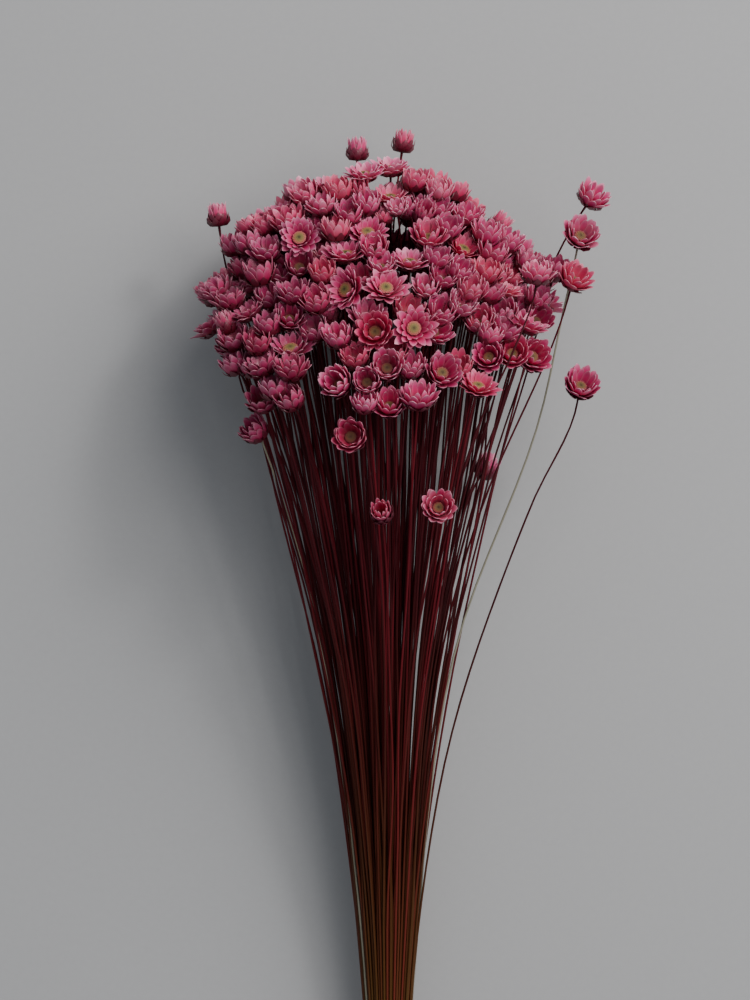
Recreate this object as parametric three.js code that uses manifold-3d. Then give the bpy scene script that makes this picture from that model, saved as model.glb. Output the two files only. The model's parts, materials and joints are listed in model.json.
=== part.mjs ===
// A dried glixia bouquet: thin stems, each with one papery flower head, bound with twine near their
// cut ends. It lies on its back on a flat surface. Millimetres.
//
// The bunch is laid out in a frame of its own: x across, y along the stems from the cut ends to the
// flowers, and z the depth towards the viewer. A group then leans that frame back, so that the cut
// ends and the lowest heads rest at height 0, with +Z up and +Y from the cut ends to the flowers.

import * as THREE from 'three';
import { mergeVertices } from 'three/addons/utils/BufferGeometryUtils.js';
import Module from 'manifold-3d';

const wasm = await Module();
wasm.setup();

// How the bunch lies
const leanAngle = THREE.MathUtils.degToRad(6.2);
const restHeight = 8.2;
const shiftAcross = -5;
const shiftAlong = -200.3;

// The dome of flower heads
const domeMiddle = -4.5;
const domeHalfWidth = 60.5;
const domeTop = 383;
const ridgeDepth = -8;
const frontDepth = 50;
const backDepth = -41.5;
const sideFall = 40;
const frontFall = 82;
const backFall = 46;
const roundness = 1.35;
const sidePower = 2.2;
const deepestShare = 1.08;
const layerHalfHeight = 7;
const restRoom = 3.8;
const planSlack = 1.03;

// The stems
const stemRadius = 0.54;
const tieAlong = 48;
const tieReach = 7.9;
const cutFlare = 0.3;
const cutStagger = 8;
const spreadPower = 2;
const trunkTop = 100;
const rootRadius = 0.42;
const rootDepth = 2.5;
const rootMargin = 0.5;
const bendLevel = 205;
const stemSpacing = 1.4;
const waistSpacing = 0.97;
const rootSpacing = 1.38;
const rootReach = 11.3;
const tieShrink = tieReach / rootReach;
const frontDepthReach = 0.9;
const backDepthReach = 0.62;

// A head that nods has a bent stalk below its neck
const nodLimit = 0.72;
const nodLength = 3.5;
const nodDrop = 4.5;

// The twine
const twineRadius = 0.95;
const twineTurns = 3;
const twineSegments = 18;

// The sprays and the small gap between neighbours
const sprayCount = 48;
const gap = 0.32;

// The free heads: how many places are filled in all, how far apart they start, and their sizes
const placeCount = 244;
const placeTries = 16000;
const frontSpacing = 6.3;
const backSpacing = 8.2;
const usualRoom = 4.5;
const cleftRoom = 6;
const fixedRoom = 5;
const smallestSize = 0.9;
const sizeSpread = 0.14;
const spinSpread = 0.8;
const seed = 4021;

// How a free head faces: how far it turns from upright towards the dome's own direction at the
// back and in front, how much more in the front lobe, and how far it wanders and leans outwards
const backTurn = 0.45;
const frontTurn = 0.35;
const lobeTurn = 0.4;
const lobeMiddle = 5;
const lobeHalfWidth = 32;
const wanderShare = 0.35;
const outwardLean = 0.004;

// How fast heads and stems that stand too close are moved apart
const headPush = 0.3;
const stemPush = 0.4;
const spreadRounds = 60;
const settleRounds = 80;
const shrinkRounds = 4;
const bendRounds = 20;
const rootRounds = 30;

// Each kind of head: bracts in its crown, then radius and height of the belly, of the notches
// between bracts and of the bract tips, the height of the sunken heart, and the room it takes
const headKinds = {
  bud: { bracts: 6, belly: [2.9, 2.4], notch: [2.8, 5.2], tip: [2.4, 7.4], heart: 4.6, room: 3.3 },
  cup: { bracts: 7, belly: [3.7, 2.3], notch: [4.3, 5.6], tip: [4.8, 8.0], heart: 3.6, room: 4.5 },
  wide: { bracts: 7, belly: [3.7, 2.0], notch: [4.9, 4.8], tip: [6.0, 6.9], heart: 3.2, room: 5.3 },
  open: { bracts: 8, belly: [3.3, 1.5], notch: [5.6, 3.8], tip: [7.9, 4.9], heart: 2.9, room: 6.6 },
};
const budShare = 0.1;
const cupShare = 0.62;
const wideShare = 0.2;

// The two balls that stand for a head: their places along it and their radii, as shares of the
// head's height and of its belly's and tips' radius
const baseBall = { along: 0.3, radius: 0.8 };
const crownBall = { along: 0.72, radius: 0.86 };

// Heads that show most in front: across, along, kind, where they face (across, along, depth), and
// how far they stand proud of the dome
const frontHeads = [
  [-33, 360, 'open', [-0.1, 0.35, 0.93], 6],
  [-33, 350, 'cup', [0, 0.5, 0.85], 2],
  [-15.5, 340, 'open', [-0.6, 0.25, 0.75], 5],
  [-0.8, 340.5, 'open', [0.05, 0.6, 0.8], 5],
  [8, 350.5, 'open', [0.05, 0.9, 0.4], 2],
  [-15.8, 353.5, 'open', [-0.1, 0.9, 0.4], 2],
  [14, 341, 'wide', [0, 0.75, 0.65], 3],
  [9.4, 325.5, 'open', [0.05, 0.15, 0.98], 6],
  [-5, 324.5, 'wide', [-0.1, 0.2, 0.96], 5],
  [18, 325, 'cup', [0.5, 0.3, 0.75], 2],
  [-8, 306, 'cup', [-0.1, 0.3, 0.92], 4],
  [-0.5, 311.5, 'cup', [0, 0.35, 0.92], 4],
  [-19, 305.5, 'cup', [-0.4, 0.35, 0.8], 2],
  [-8.6, 298, 'cup', [0, 0.85, 0.5], 1],
  [11, 300, 'wide', [0.05, 0.85, 0.5], 2],
  [20, 309.5, 'wide', [0.25, 0.4, 0.85], 2],
  [37, 315.5, 'wide', [-0.1, 0.3, 0.92], 1],
  [46, 317, 'wide', [0.1, 0.35, 0.9], 1],
  [54, 316, 'wide', [0.35, 0.3, 0.88], 1],
  [56, 330, 'cup', [0.35, 0.4, 0.82], 2],
  [42, 332, 'cup', [-0.1, 0.7, 0.7], 1],
  [33.5, 329, 'cup', [0, 0.65, 0.75], 1],
  [-36.5, 330, 'wide', [0, 0.6, 0.75], 2],
  [-22.7, 380, 'open', [-0.1, 0.95, 0.28], 0],
  [1, 387, 'open', [0, 0.95, 0.3], 0],
  [8, 371, 'cup', [0, 0.9, 0.4], 1],
  [-1.5, 368, 'cup', [0, 0.97, 0.2], 1],
  [29, 369, 'wide', [0.1, 0.9, 0.4], 1],
];

// Heads that fill the front, free to settle among the rest: across, along, kind, how far proud
const fillHeads = [
  [-25.4, 338, 'cup', 0],
  [23, 337, 'cup', 0],
  [-9.6, 334, 'wide', 1],
  [-21.2, 325.5, 'cup', 1],
  [-13.8, 324.4, 'cup', 1],
  [-12.2, 315, 'cup', 0],
  [1.3, 356, 'wide', 1],
  [19.9, 351.8, 'cup', 1],
  [28.3, 348.6, 'cup', 0],
  [35.1, 343.4, 'cup', 1],
  [13.5, 359, 'wide', 0],
  [4.5, 333, 'cup', 0],
  [25, 316, 'cup', 0],
  [3, 318, 'cup', -1],
];

// Stray heads, which stand clear of the dome: across, along, depth, kind, where they face, and
// the points that their stems bend through (across, along, depth)
const strayHeads = [
  [-11.6, 394, -13, 'bud', [0, 1, 0.05], []],
  [5.8, 397.5, -20, 'bud', [0.15, 0.98, 0.1], []],
  [-64, 369, -9, 'bud', [-0.12, 0.98, 0.1], []],
  [76.5, 376, 4, 'wide', [0.5, 0.72, 0.48], []],
  [72, 361.5, 10, 'wide', [0.25, 0.5, 0.82], [[58, 297, 5], [66, 335, 8]]],
  [69.5, 345, 16, 'wide', [0.4, 0.65, 0.65], []],
  [62.5, 349, 3, 'cup', [0.2, 0.85, 0.45], []],
  [54.8, 345.5, 40, 'wide', [0.1, 0.95, 0.3], [[35, 290, 35], [47, 318, 39]]],
  [72, 305.5, 14, 'wide', [0.25, 0.6, 0.75], []],
  [18.4, 260, 46, 'wide', [0.05, 0.25, 0.96], []],
  [-14, 286, 50, 'cup', [-0.1, 0.2, 0.96], []],
  [-2.6, 258, 43, 'bud', [-0.1, 0.4, 0.9], []],
  [-46.5, 299.5, 34, 'cup', [-0.3, 0.6, 0.7], []],
  [-49.5, 288.5, 24, 'cup', [-0.6, 0.6, 0.5], []],
  [37, 274.5, -23, 'bud', [0.5, 0.8, -0.2], []],
  [-58, 320, 12, 'wide', [-0.5, 0.75, 0.4], [[-46.5, 292, 9], [-55.5, 307.5, 9]]],
];

// Dark clefts in the dome, where no head stands: across, along
const clefts = [
  [-25.5, 315],
  [-27, 303],
  [4.5, 359.5],
  [26, 322],
];

// A seeded draw between 0 and 1
function seededDraw(seed) {
  let state = seed;
  return () => {
    state = (state * 16807) % 2147483647;
    return state / 2147483647;
  };
}

// How far along the stems the dome's surface is, at a place across and in depth
function domeAlong(across, depth) {
  const side = Math.abs(across - domeMiddle) / domeHalfWidth;
  const front = depth > ridgeDepth;
  const reach = front ? frontDepth - ridgeDepth : ridgeDepth - backDepth;
  const fall = front ? frontFall : backFall;
  return domeTop - sideFall * side ** sidePower - fall * (Math.abs(depth - ridgeDepth) / reach) ** roundness;
}

// The depth of the dome's front at a place across and along
function domeDepth(across, along) {
  const side = Math.abs(across - domeMiddle) / domeHalfWidth;
  const fall = Math.max(domeTop - sideFall * side ** sidePower - along, 0);
  const share = Math.min((fall / frontFall) ** (1 / roundness), deepestShare);
  return ridgeDepth + (frontDepth - ridgeDepth) * share;
}

// The depth of the surface that the bunch lies on
function floorDepth(along) {
  return -(restHeight + along * Math.sin(leanAngle)) / Math.cos(leanAngle);
}

// How far out a place is on the dome's plan: 1 on its edge
function planReach(across, depth) {
  const half = depth > ridgeDepth ? frontDepth - ridgeDepth : ridgeDepth - backDepth;
  return Math.hypot((across - domeMiddle) / domeHalfWidth, (depth - ridgeDepth) / half);
}

// Keeps a free head on the dome's plan, in its thin layer and above the surface it lies on
function keepOnDome(head) {
  const place = head.place;
  const reach = planReach(place.x, place.z);
  if (reach > planSlack) {
    place.x = domeMiddle + ((place.x - domeMiddle) * planSlack) / reach;
    place.z = ridgeDepth + ((place.z - ridgeDepth) * planSlack) / reach;
  }
  const surface = domeAlong(place.x, place.z);
  place.y = THREE.MathUtils.clamp(place.y, surface - layerHalfHeight, surface + layerHalfHeight);
  place.z = Math.max(place.z, floorDepth(place.y) + restRoom);
}

// Moves heads that stand too close apart, a little at a time
function spreadHeads(heads, rounds) {
  for (let round = 0; round < rounds; round += 1) {
    const moves = heads.map(() => new THREE.Vector3());
    for (let i = 0; i < heads.length; i += 1) {
      for (let j = i + 1; j < heads.length; j += 1) {
        const between = heads[j].place.clone().sub(heads[i].place);
        const distance = between.length();
        const wanted = heads[i].room + heads[j].room;
        if (distance > 0 && distance < wanted) {
          between.multiplyScalar((headPush * (wanted - distance)) / distance);
          moves[i].sub(between);
          moves[j].add(between);
        }
      }
    }
    heads.forEach((head, index) => {
      if (head.fixed) return;
      head.place.add(moves[index]);
      keepOnDome(head);
    });
  }
}

// Which way the dome's surface faces
function domeNormal(place) {
  const step = 2;
  const across = domeAlong(place.x + step, place.z) - domeAlong(place.x - step, place.z);
  const depth = domeAlong(place.x, place.z + step) - domeAlong(place.x, place.z - step);
  return new THREE.Vector3(-across / (2 * step), 1, -depth / (2 * step)).normalize();
}

// Which way a free head faces: upwards in the middle of the bunch, outwards at its front and sides
function freeFacing(head) {
  const place = head.place;
  const upright = new THREE.Vector3(place.x * outwardLean, 1, place.z * outwardLean);
  const lobe = Math.exp(-(((place.x - lobeMiddle) / lobeHalfWidth) ** 2));
  const share = place.z > ridgeDepth ? frontTurn + lobeTurn * lobe : backTurn;
  return upright.lerp(domeNormal(place), share).addScaledVector(head.wander, wanderShare).normalize();
}

// Where a head's stem meets it, and the two balls that stand for its base and its crown
function measureHead(head) {
  if (!head.kind) {
    head.balls = [{ middle: head.place, radius: head.room }];
    return;
  }
  const kind = headKinds[head.kind];
  const height = kind.tip[1] * head.size;
  head.neck = head.place.clone().addScaledVector(head.faces, -0.5 * height);
  const ball = (shape, width) => ({
    middle: head.neck.clone().addScaledVector(head.faces, shape.along * height),
    radius: shape.radius * width * head.size,
  });
  head.balls = [ball(baseBall, kind.belly[0]), ball(crownBall, kind.tip[0])];
  const slope = -spreadPower / (head.neck.y - tieAlong);
  head.stemWay = new THREE.Vector3(head.neck.x * slope, -1, head.neck.z * slope);
}

// The shortest way from a head's stem to a point below that head; a point above it counts as far
function fromStem(head, point) {
  const far = 100;
  const offset = point.clone().sub(head.neck);
  const down = offset.dot(head.stemWay) / head.stemWay.lengthSq();
  return down > 0 ? offset.addScaledVector(head.stemWay, -down) : offset.setLength(far);
}

// Settles the heads against each other's heads and stems
function settleHeads(heads, rounds) {
  const nearby = 60;
  const stemRoom = 0.6 * stemRadius + gap;
  for (let round = 0; round < rounds; round += 1) {
    for (const head of heads) {
      if (!head.fixed) head.faces = freeFacing(head);
      measureHead(head);
    }
    const moves = heads.map(() => new THREE.Vector3());
    const push = (i, j, between, wanted) => {
      const distance = between.length();
      if (distance >= wanted) return;
      const move = between.multiplyScalar((headPush * (wanted - distance)) / distance);
      moves[i].sub(move);
      moves[j].add(move);
    };
    for (let i = 0; i < heads.length; i += 1) {
      for (let j = 0; j < heads.length; j += 1) {
        if (i === j || heads[i].place.distanceTo(heads[j].place) > nearby) continue;
        for (const ball of heads[i].balls) {
          if (i < j) {
            for (const other of heads[j].balls) {
              push(i, j, other.middle.clone().sub(ball.middle), ball.radius + other.radius + gap);
            }
          }
          if (heads[j].kind) {
            push(i, j, fromStem(heads[j], ball.middle).negate(), ball.radius + stemRoom);
          }
        }
      }
    }
    heads.forEach((head, index) => {
      if (head.fixed) return;
      head.place.add(moves[index].clampLength(0, 1));
      keepOnDome(head);
    });
  }
}

// The kind of a free head, from a draw between 0 and 1
function drawnKind(share) {
  if (share < budShare) return 'bud';
  if (share < budShare + cupShare) return 'cup';
  return share < budShare + cupShare + wideShare ? 'wide' : 'open';
}

// All the flower heads: the hand-placed ones first, then free ones drawn over the rest of the dome
function placeHeads() {
  const draw = seededDraw(seed);
  const heads = [];
  const add = (place, kind, faces, more) => {
    const wander = new THREE.Vector3(draw() - 0.5, draw() - 0.5, draw() - 0.5);
    const size = smallestSize + sizeSpread * draw();
    const spin = spinSpread * (draw() - 0.5);
    const cutAt = cutStagger * draw();
    const room = kind ? headKinds[kind].room : cleftRoom;
    const head = { place, kind, faces, wander, size, spin, cutAt, room, ...more };
    if (head.fixed) measureHead(head);
    heads.push(head);
  };
  for (const [across, along, kind, faces, proud] of frontHeads) {
    const depth = domeDepth(across, along) + proud;
    const way = new THREE.Vector3(...faces).normalize();
    add(new THREE.Vector3(across, along, depth), kind, way, { fixed: true });
  }
  for (const [across, along, depth, kind, faces, bends] of strayHeads) {
    const more = { fixed: true, bends: bends.map((bend) => new THREE.Vector3(...bend)) };
    add(new THREE.Vector3(across, along, depth), kind, new THREE.Vector3(...faces).normalize(), more);
  }
  for (const [across, along, kind, proud] of fillHeads) {
    const depth = domeDepth(across, along) + proud;
    add(new THREE.Vector3(across, along, depth), kind, null, { fixed: false });
  }
  for (const [across, along] of clefts) {
    const depth = domeDepth(across, along);
    add(new THREE.Vector3(across, along, depth), null, null, { fixed: true });
  }
  for (let n = 0; n < placeTries && heads.length < placeCount; n += 1) {
    const across = domeMiddle + domeHalfWidth * (2 * draw() - 1);
    const depth = backDepth + (frontDepth - backDepth) * draw();
    const lift = layerHalfHeight * (2 * draw() - 1);
    const place = new THREE.Vector3(across, domeAlong(across, depth) + lift, depth);
    const kindDraw = draw();
    const spacing = depth > ridgeDepth ? frontSpacing : backSpacing;
    const clear = heads.every((head) => {
      const wanted = head.fixed ? head.room + fixedRoom : (spacing * head.room) / usualRoom;
      if (head.place.distanceTo(place) < wanted) return false;
      return !head.fixed || !head.kind || fromStem(head, place).length() > fixedRoom;
    });
    if (planReach(across, depth) < 1 && clear) add(place, drawnKind(kindDraw), null, { fixed: false });
  }
  spreadHeads(heads, spreadRounds);
  settleHeads(heads, settleRounds);
  const flowers = heads.filter((head) => head.kind);
  shrinkHeads(flowers, shrinkRounds);
  return flowers;
}

// Moves points of one level apart until none are closer than the wanted spacing
function spreadLevel(points, wanted, rounds, reach, keep) {
  for (let round = 0; round < rounds; round += 1) {
    const moves = points.map(() => new THREE.Vector2());
    for (let i = 0; i < points.length; i += 1) {
      for (let j = i + 1; j < points.length; j += 1) {
        const between = points[j].clone().sub(points[i]);
        const distance = between.length();
        if (distance > 0 && distance < wanted) {
          between.multiplyScalar((stemPush * (wanted - distance)) / distance);
          moves[i].sub(between);
          moves[j].add(between);
        }
      }
    }
    points.forEach((point, index) => {
      point.add(moves[index]);
      if (reach && point.length() > reach) point.setLength(reach);
      if (keep) keep(point);
    });
  }
}

// Shrinks heads a little where they are still too tight
function shrinkHeads(heads, rounds) {
  for (let round = 0; round < rounds; round += 1) {
    heads.forEach(measureHead);
    const tight = heads.map(() => 0);
    for (let i = 0; i < heads.length; i += 1) {
      for (let j = i + 1; j < heads.length; j += 1) {
        for (const ball of heads[i].balls) {
          for (const other of heads[j].balls) {
            const reach = ball.radius + other.radius;
            const share = (reach + gap - other.middle.distanceTo(ball.middle)) / reach;
            tight[i] = Math.max(tight[i], share);
            tight[j] = Math.max(tight[j], share);
          }
        }
      }
    }
    heads.forEach((head, index) => {
      head.size *= 1 - 0.5 * tight[index];
    });
  }
}

// Routes every stem: places in the tie that keep the heads' order, then bends up to the neck
function routeStems(flowers) {
  for (const flower of flowers) {
    measureHead(flower);
    flower.end = flower.neck.clone();
    if (flower.faces.y < nodLimit) {
      flower.end.addScaledVector(flower.faces, -nodLength);
      flower.end.y -= nodDrop;
    }
    const share = ((bendLevel - tieAlong) / (flower.end.y - tieAlong)) ** spreadPower;
    const depthReach = flower.end.z > 0 ? frontDepthReach : backDepthReach;
    flower.spread = new THREE.Vector2(flower.end.x * share, (flower.end.z * share) / depthReach);
  }
  const byReach = [...flowers].sort((a, b) => a.spread.length() - b.spread.length());
  byReach.forEach((flower, rank) => {
    const radius = tieReach * Math.sqrt((rank + 0.5) / flowers.length);
    flower.tied = flower.spread.clone().setLength(radius);
  });
  spreadLevel(flowers.map((flower) => flower.tied), waistSpacing, spreadRounds, tieReach);
  for (const flower of flowers) {
    const ends = new THREE.Vector2(flower.end.x, flower.end.z);
    flower.at = (level) => {
      const share = ((level - tieAlong) / (flower.end.y - tieAlong)) ** spreadPower;
      return flower.tied.clone().lerp(ends, share);
    };
  }
  const rooted = flowers.map((flower) => flower.at(trunkTop));
  spreadLevel(rooted, rootSpacing, spreadRounds, rootReach);
  flowers.forEach((flower, index) => {
    flower.rooted = rooted[index];
    flower.knots = [];
  });
  const bends = flowers.map((flower) => flower.at(bendLevel));
  spreadLevel(bends, stemSpacing, bendRounds, 0);
  flowers.forEach((flower, index) => {
    flower.knots = [new THREE.Vector3(bends[index].x, bendLevel, bends[index].y)];
  });
}

// Splits the flowers by their places in the tie into compact groups, each with its cell
function splitCells(members, count, cell) {
  if (count === 1) return [{ members, cell }];
  const width = cell.max.x - cell.min.x;
  const height = cell.max.y - cell.min.y;
  const axis = width > height ? 'x' : 'y';
  const sorted = [...members].sort((a, b) => a.rooted[axis] - b.rooted[axis]);
  const firstCount = Math.floor(count / 2);
  const cut = Math.round((sorted.length * firstCount) / count);
  const line = 0.5 * (sorted[cut - 1].rooted[axis] + sorted[cut].rooted[axis]);
  const low = cell.clone();
  const high = cell.clone();
  low.max[axis] = line;
  high.min[axis] = line;
  const first = splitCells(sorted.slice(0, cut), firstCount, low);
  return first.concat(splitCells(sorted.slice(cut), count - firstCount, high));
}

// A solid from points and triangles
function solidFrom(points, faces) {
  const mesh = new wasm.Mesh({
    numProp: 3,
    vertProperties: new Float32Array(points.flatMap((point) => [point.x, point.y, point.z])),
    triVerts: new Uint32Array(faces.flat()),
  });
  return new wasm.Manifold(mesh);
}

// Side faces between two rings of equal count
function bridge(faces, first, second, count) {
  for (let k = 0; k < count; k += 1) {
    const next = (k + 1) % count;
    faces.push([first + k, first + next, second + next], [first + k, second + next, second + k]);
  }
}

// One flower: a three-sided stem from its root in the trunk up to the neck, and the head's bracts
function flowerSolid(flower) {
  const root = flower.root;
  const points = [];
  const faces = [];
  const up = new THREE.Vector3(0, 1, 0);
  const rise = new THREE.Vector3(root.x, trunkTop, root.z);
  const path = [root, rise, ...flower.knots, ...(flower.bends ?? [])];
  if (flower.end.distanceTo(flower.neck) > 1) path.push(flower.end);
  const ring = (place, turn, radius, height, count, spin) => {
    for (let k = 0; k < count; k += 1) {
      const angle = spin - (2 * Math.PI * k) / count;
      const point = new THREE.Vector3(radius * Math.cos(angle), height, radius * Math.sin(angle));
      points.push(point.applyQuaternion(turn).add(place));
    }
  };
  path.forEach((place, index) => {
    const ahead = index + 1 < path.length ? path[index + 1] : flower.neck;
    const turn = new THREE.Quaternion();
    if (index > flower.knots.length + 1) {
      turn.setFromUnitVectors(up, ahead.clone().sub(path[index - 1]).normalize());
    }
    ring(place, turn, index < 2 ? rootRadius : stemRadius, 0, 3, 0);
    if (index > 0) bridge(faces, 3 * (index - 1), 3 * index, 3);
  });
  faces.push([0, 2, 1]);

  const kind = headKinds[flower.kind];
  const count = kind.bracts;
  const size = flower.size;
  const turn = new THREE.Quaternion().setFromUnitVectors(up, flower.faces);
  const neckRing = points.length;
  ring(flower.neck, turn, stemRadius, 0, 3, flower.spin);
  bridge(faces, neckRing - 3, neckRing, 3);
  const bellyRing = points.length;
  ring(flower.neck, turn, kind.belly[0] * size, kind.belly[1] * size, count, flower.spin);
  let stemSide = 0;
  for (let k = 0; k < count; k += 1) {
    const side = Math.floor(((k + 1) * 3) / count) % 3;
    faces.push([neckRing + stemSide, bellyRing + ((k + 1) % count), bellyRing + k]);
    if (side !== stemSide) {
      faces.push([neckRing + stemSide, neckRing + side, bellyRing + ((k + 1) % count)]);
      stemSide = side;
    }
  }
  const tipRing = points.length;
  ring(flower.neck, turn, kind.tip[0] * size, kind.tip[1] * size, count, flower.spin);
  const notchRing = points.length;
  const halfStep = Math.PI / count;
  ring(flower.neck, turn, kind.notch[0] * size, kind.notch[1] * size, count, flower.spin - halfStep);
  const heart = points.length;
  points.push(flower.neck.clone().addScaledVector(flower.faces, kind.heart * size));
  for (let k = 0; k < count; k += 1) {
    const next = (k + 1) % count;
    faces.push([bellyRing + k, notchRing + k, tipRing + k]);
    faces.push([bellyRing + k, bellyRing + next, notchRing + k]);
    faces.push([bellyRing + next, tipRing + next, notchRing + k]);
    faces.push([heart, tipRing + k, notchRing + k]);
    faces.push([heart, notchRing + k, tipRing + next]);
  }
  return solidFrom(points, faces);
}

// A trunk's outline at its top: its cell, less the gap, close round its stems and inside the tie
function trunkOutline(cell) {
  const rooted = cell.members.map((flower) => flower.rooted);
  const own = new THREE.Box2().setFromPoints(rooted).expandByScalar(rootMargin);
  const low = cell.cell.min.clone().addScalar(0.5 * gap / tieShrink).max(own.min);
  const high = cell.cell.max.clone().addScalar(-0.5 * gap / tieShrink).min(own.max);
  const corners = [[high.x, low.y], [low.x, low.y], [low.x, high.y], [high.x, high.y]];
  const reach = rootReach + rootMargin;
  return corners.map(([x, y]) => {
    if (Math.hypot(x, y) <= reach) return new THREE.Vector2(x, y);
    const inner = Math.sqrt(Math.max(reach ** 2 - Math.min(Math.abs(x), Math.abs(y)) ** 2, 0));
    return Math.abs(x) > Math.abs(y)
      ? new THREE.Vector2(Math.sign(x) * inner, y)
      : new THREE.Vector2(x, Math.sign(y) * inner);
  });
}

// A four-sided bar that holds a spray's stems together from their cut ends up through the tie
function trunkSolid(cell) {
  const outline = trunkOutline(cell);
  const cutAt = cell.members[0].cutAt;
  const flare = 1 + cutFlare * (1 - cutAt / tieAlong);
  const levels = [
    [cutAt, tieShrink * flare],
    [tieAlong, tieShrink],
    [trunkTop, 1],
  ];
  const points = [];
  const faces = [];
  levels.forEach(([along, scale], index) => {
    for (const corner of outline) {
      points.push(new THREE.Vector3(corner.x * scale, along, corner.y * scale));
    }
    if (index > 0) bridge(faces, 4 * (index - 1), 4 * index, 4);
  });
  faces.push([0, 3, 2], [0, 2, 1], [8, 9, 10], [8, 10, 11]);
  return solidFrom(points, faces);
}

// Places the roots of a spray's stems in its trunk, clear of each other
function placeRoots(cell) {
  const rootRoom = 1;
  const inset = (0.5 * gap) / tieShrink + rootMargin;
  const low = cell.cell.min.clone().addScalar(inset);
  const high = cell.cell.max.clone().addScalar(-inset);
  const roots = cell.members.map((flower) => flower.rooted.clone());
  spreadLevel(roots, rootRoom, rootRounds, 0, (root) => root.clamp(low, high));
  cell.members.forEach((flower, index) => {
    flower.root = new THREE.Vector3(roots[index].x, trunkTop - rootDepth, roots[index].y);
    flower.cell = cell;
  });
}

// Makes heads smaller until none is within a hair's breadth of another spray
function clearNeighbours(flowers) {
  const marginScale = 1.04;
  const shrink = 0.95;
  const mostRounds = 16;
  for (let round = 0; round < mostRounds; round += 1) {
    const solids = flowers.map((flower) => flowerSolid({ ...flower, size: flower.size * marginScale }));
    const boxes = solids.map((solid) => {
      const box = solid.boundingBox();
      return new THREE.Box3(new THREE.Vector3(...box.min), new THREE.Vector3(...box.max));
    });
    const tight = new Set();
    for (let i = 0; i < flowers.length; i += 1) {
      for (let j = i + 1; j < flowers.length; j += 1) {
        const apart = flowers[i].cell === flowers[j].cell || !boxes[i].intersectsBox(boxes[j]);
        if (!apart && solids[i].intersect(solids[j]).volume() > 0) tight.add(i).add(j);
      }
    }
    if (tight.size === 0) return;
    for (const index of tight) flowers[index].size *= shrink;
  }
}

// One spray: a trunk and its flowers, fused, and cut flat where it meets the surface
function spraySolid(cell) {
  let spray = trunkSolid(cell);
  for (const flower of cell.members) spray = spray.add(flowerSolid(flower));
  return spray.trimByPlane([0, Math.sin(leanAngle), Math.cos(leanAngle)], -restHeight);
}

// A solid from a three.js geometry, its shared corners merged
function solidOf(geometry) {
  const plain = geometry.clone();
  plain.deleteAttribute('normal');
  plain.deleteAttribute('uv');
  const merged = mergeVertices(plain, 1e-4);
  const mesh = new wasm.Mesh({
    numProp: 3,
    vertProperties: new Float32Array(merged.attributes.position.array),
    triVerts: new Uint32Array(merged.index.array),
  });
  return new wasm.Manifold(mesh);
}

// The tie: turns of twine side by side, a knot towards the viewer and two short tails
function tieSolid() {
  const inner = (rootReach + rootMargin) * tieShrink + 1.5 * gap;
  const half = twineTurns * twineRadius;
  const profile = [new THREE.Vector2(inner, tieAlong - half)];
  for (let turn = 0; turn < twineTurns; turn += 1) {
    const middle = tieAlong - half + (2 * turn + 1) * twineRadius;
    for (const angle of [-60, 0, 60]) {
      const tilt = THREE.MathUtils.degToRad(angle);
      const radius = inner + twineRadius * (1 + Math.cos(tilt));
      profile.push(new THREE.Vector2(radius, middle + twineRadius * Math.sin(tilt)));
    }
  }
  profile.push(new THREE.Vector2(inner, tieAlong + half), profile[0]);
  const ring = solidOf(new THREE.LatheGeometry(profile, twineSegments));
  const knotDepth = inner + 2 * twineRadius;
  const knot = new THREE.SphereGeometry(1, 7, 5);
  knot.scale(2.6, 2.2, 1.7);
  knot.translate(0, tieAlong, knotDepth);
  let tie = ring.add(solidOf(knot));
  const section = new THREE.Shape();
  section.absarc(0, 0, twineRadius, 0, 2 * Math.PI);
  for (const side of [-1, 1]) {
    const route = new THREE.CatmullRomCurve3([
      new THREE.Vector3(0, tieAlong, knotDepth),
      new THREE.Vector3(side * 5, tieAlong - 3, knotDepth + 1.2),
      new THREE.Vector3(side * 9, tieAlong - 10, knotDepth - 1.5),
    ]);
    const tail = new THREE.ExtrudeGeometry(section, { steps: 4, curveSegments: 5, extrudePath: route });
    tie = tie.add(solidOf(tail));
  }
  return tie;
}

// A geometry from a finished solid
function geometryOf(solid) {
  const mesh = solid.getMesh();
  const geometry = new THREE.BufferGeometry();
  geometry.setAttribute('position', new THREE.BufferAttribute(mesh.vertProperties, 3));
  geometry.setIndex(new THREE.BufferAttribute(mesh.triVerts, 1));
  geometry.computeVertexNormals();
  return geometry;
}

const flowerPink = new THREE.Color(0xb8567c);
const twineTan = new THREE.Color(0x9a7d55);

const flowers = placeHeads();
routeStems(flowers);
const wholeTie = new THREE.Box2().expandByPoint(new THREE.Vector2()).expandByScalar(rootReach + 2);
const cells = splitCells(flowers, sprayCount, wholeTie);
cells.forEach(placeRoots);
clearNeighbours(flowers);

const bunch = new THREE.Group();
bunch.rotation.x = leanAngle;
bunch.position.set(shiftAcross, shiftAlong, restHeight);
cells.forEach((cell, index) => {
  const material = new THREE.MeshStandardMaterial({ color: flowerPink, roughness: 0.7, metalness: 0 });
  const spray = new THREE.Mesh(geometryOf(spraySolid(cell)), material);
  spray.name = `spray_${String(index + 1).padStart(2, '0')}`;
  bunch.add(spray);
});

const twine = new THREE.MeshStandardMaterial({ color: twineTan, roughness: 0.9, metalness: 0 });
const tie = new THREE.Mesh(geometryOf(tieSolid()), twine);
tie.name = 'twine_tie';
bunch.add(tie);

const group = new THREE.Group();
group.add(bunch);
export default group;
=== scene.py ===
import functools
import json
import math
from types import SimpleNamespace

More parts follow.
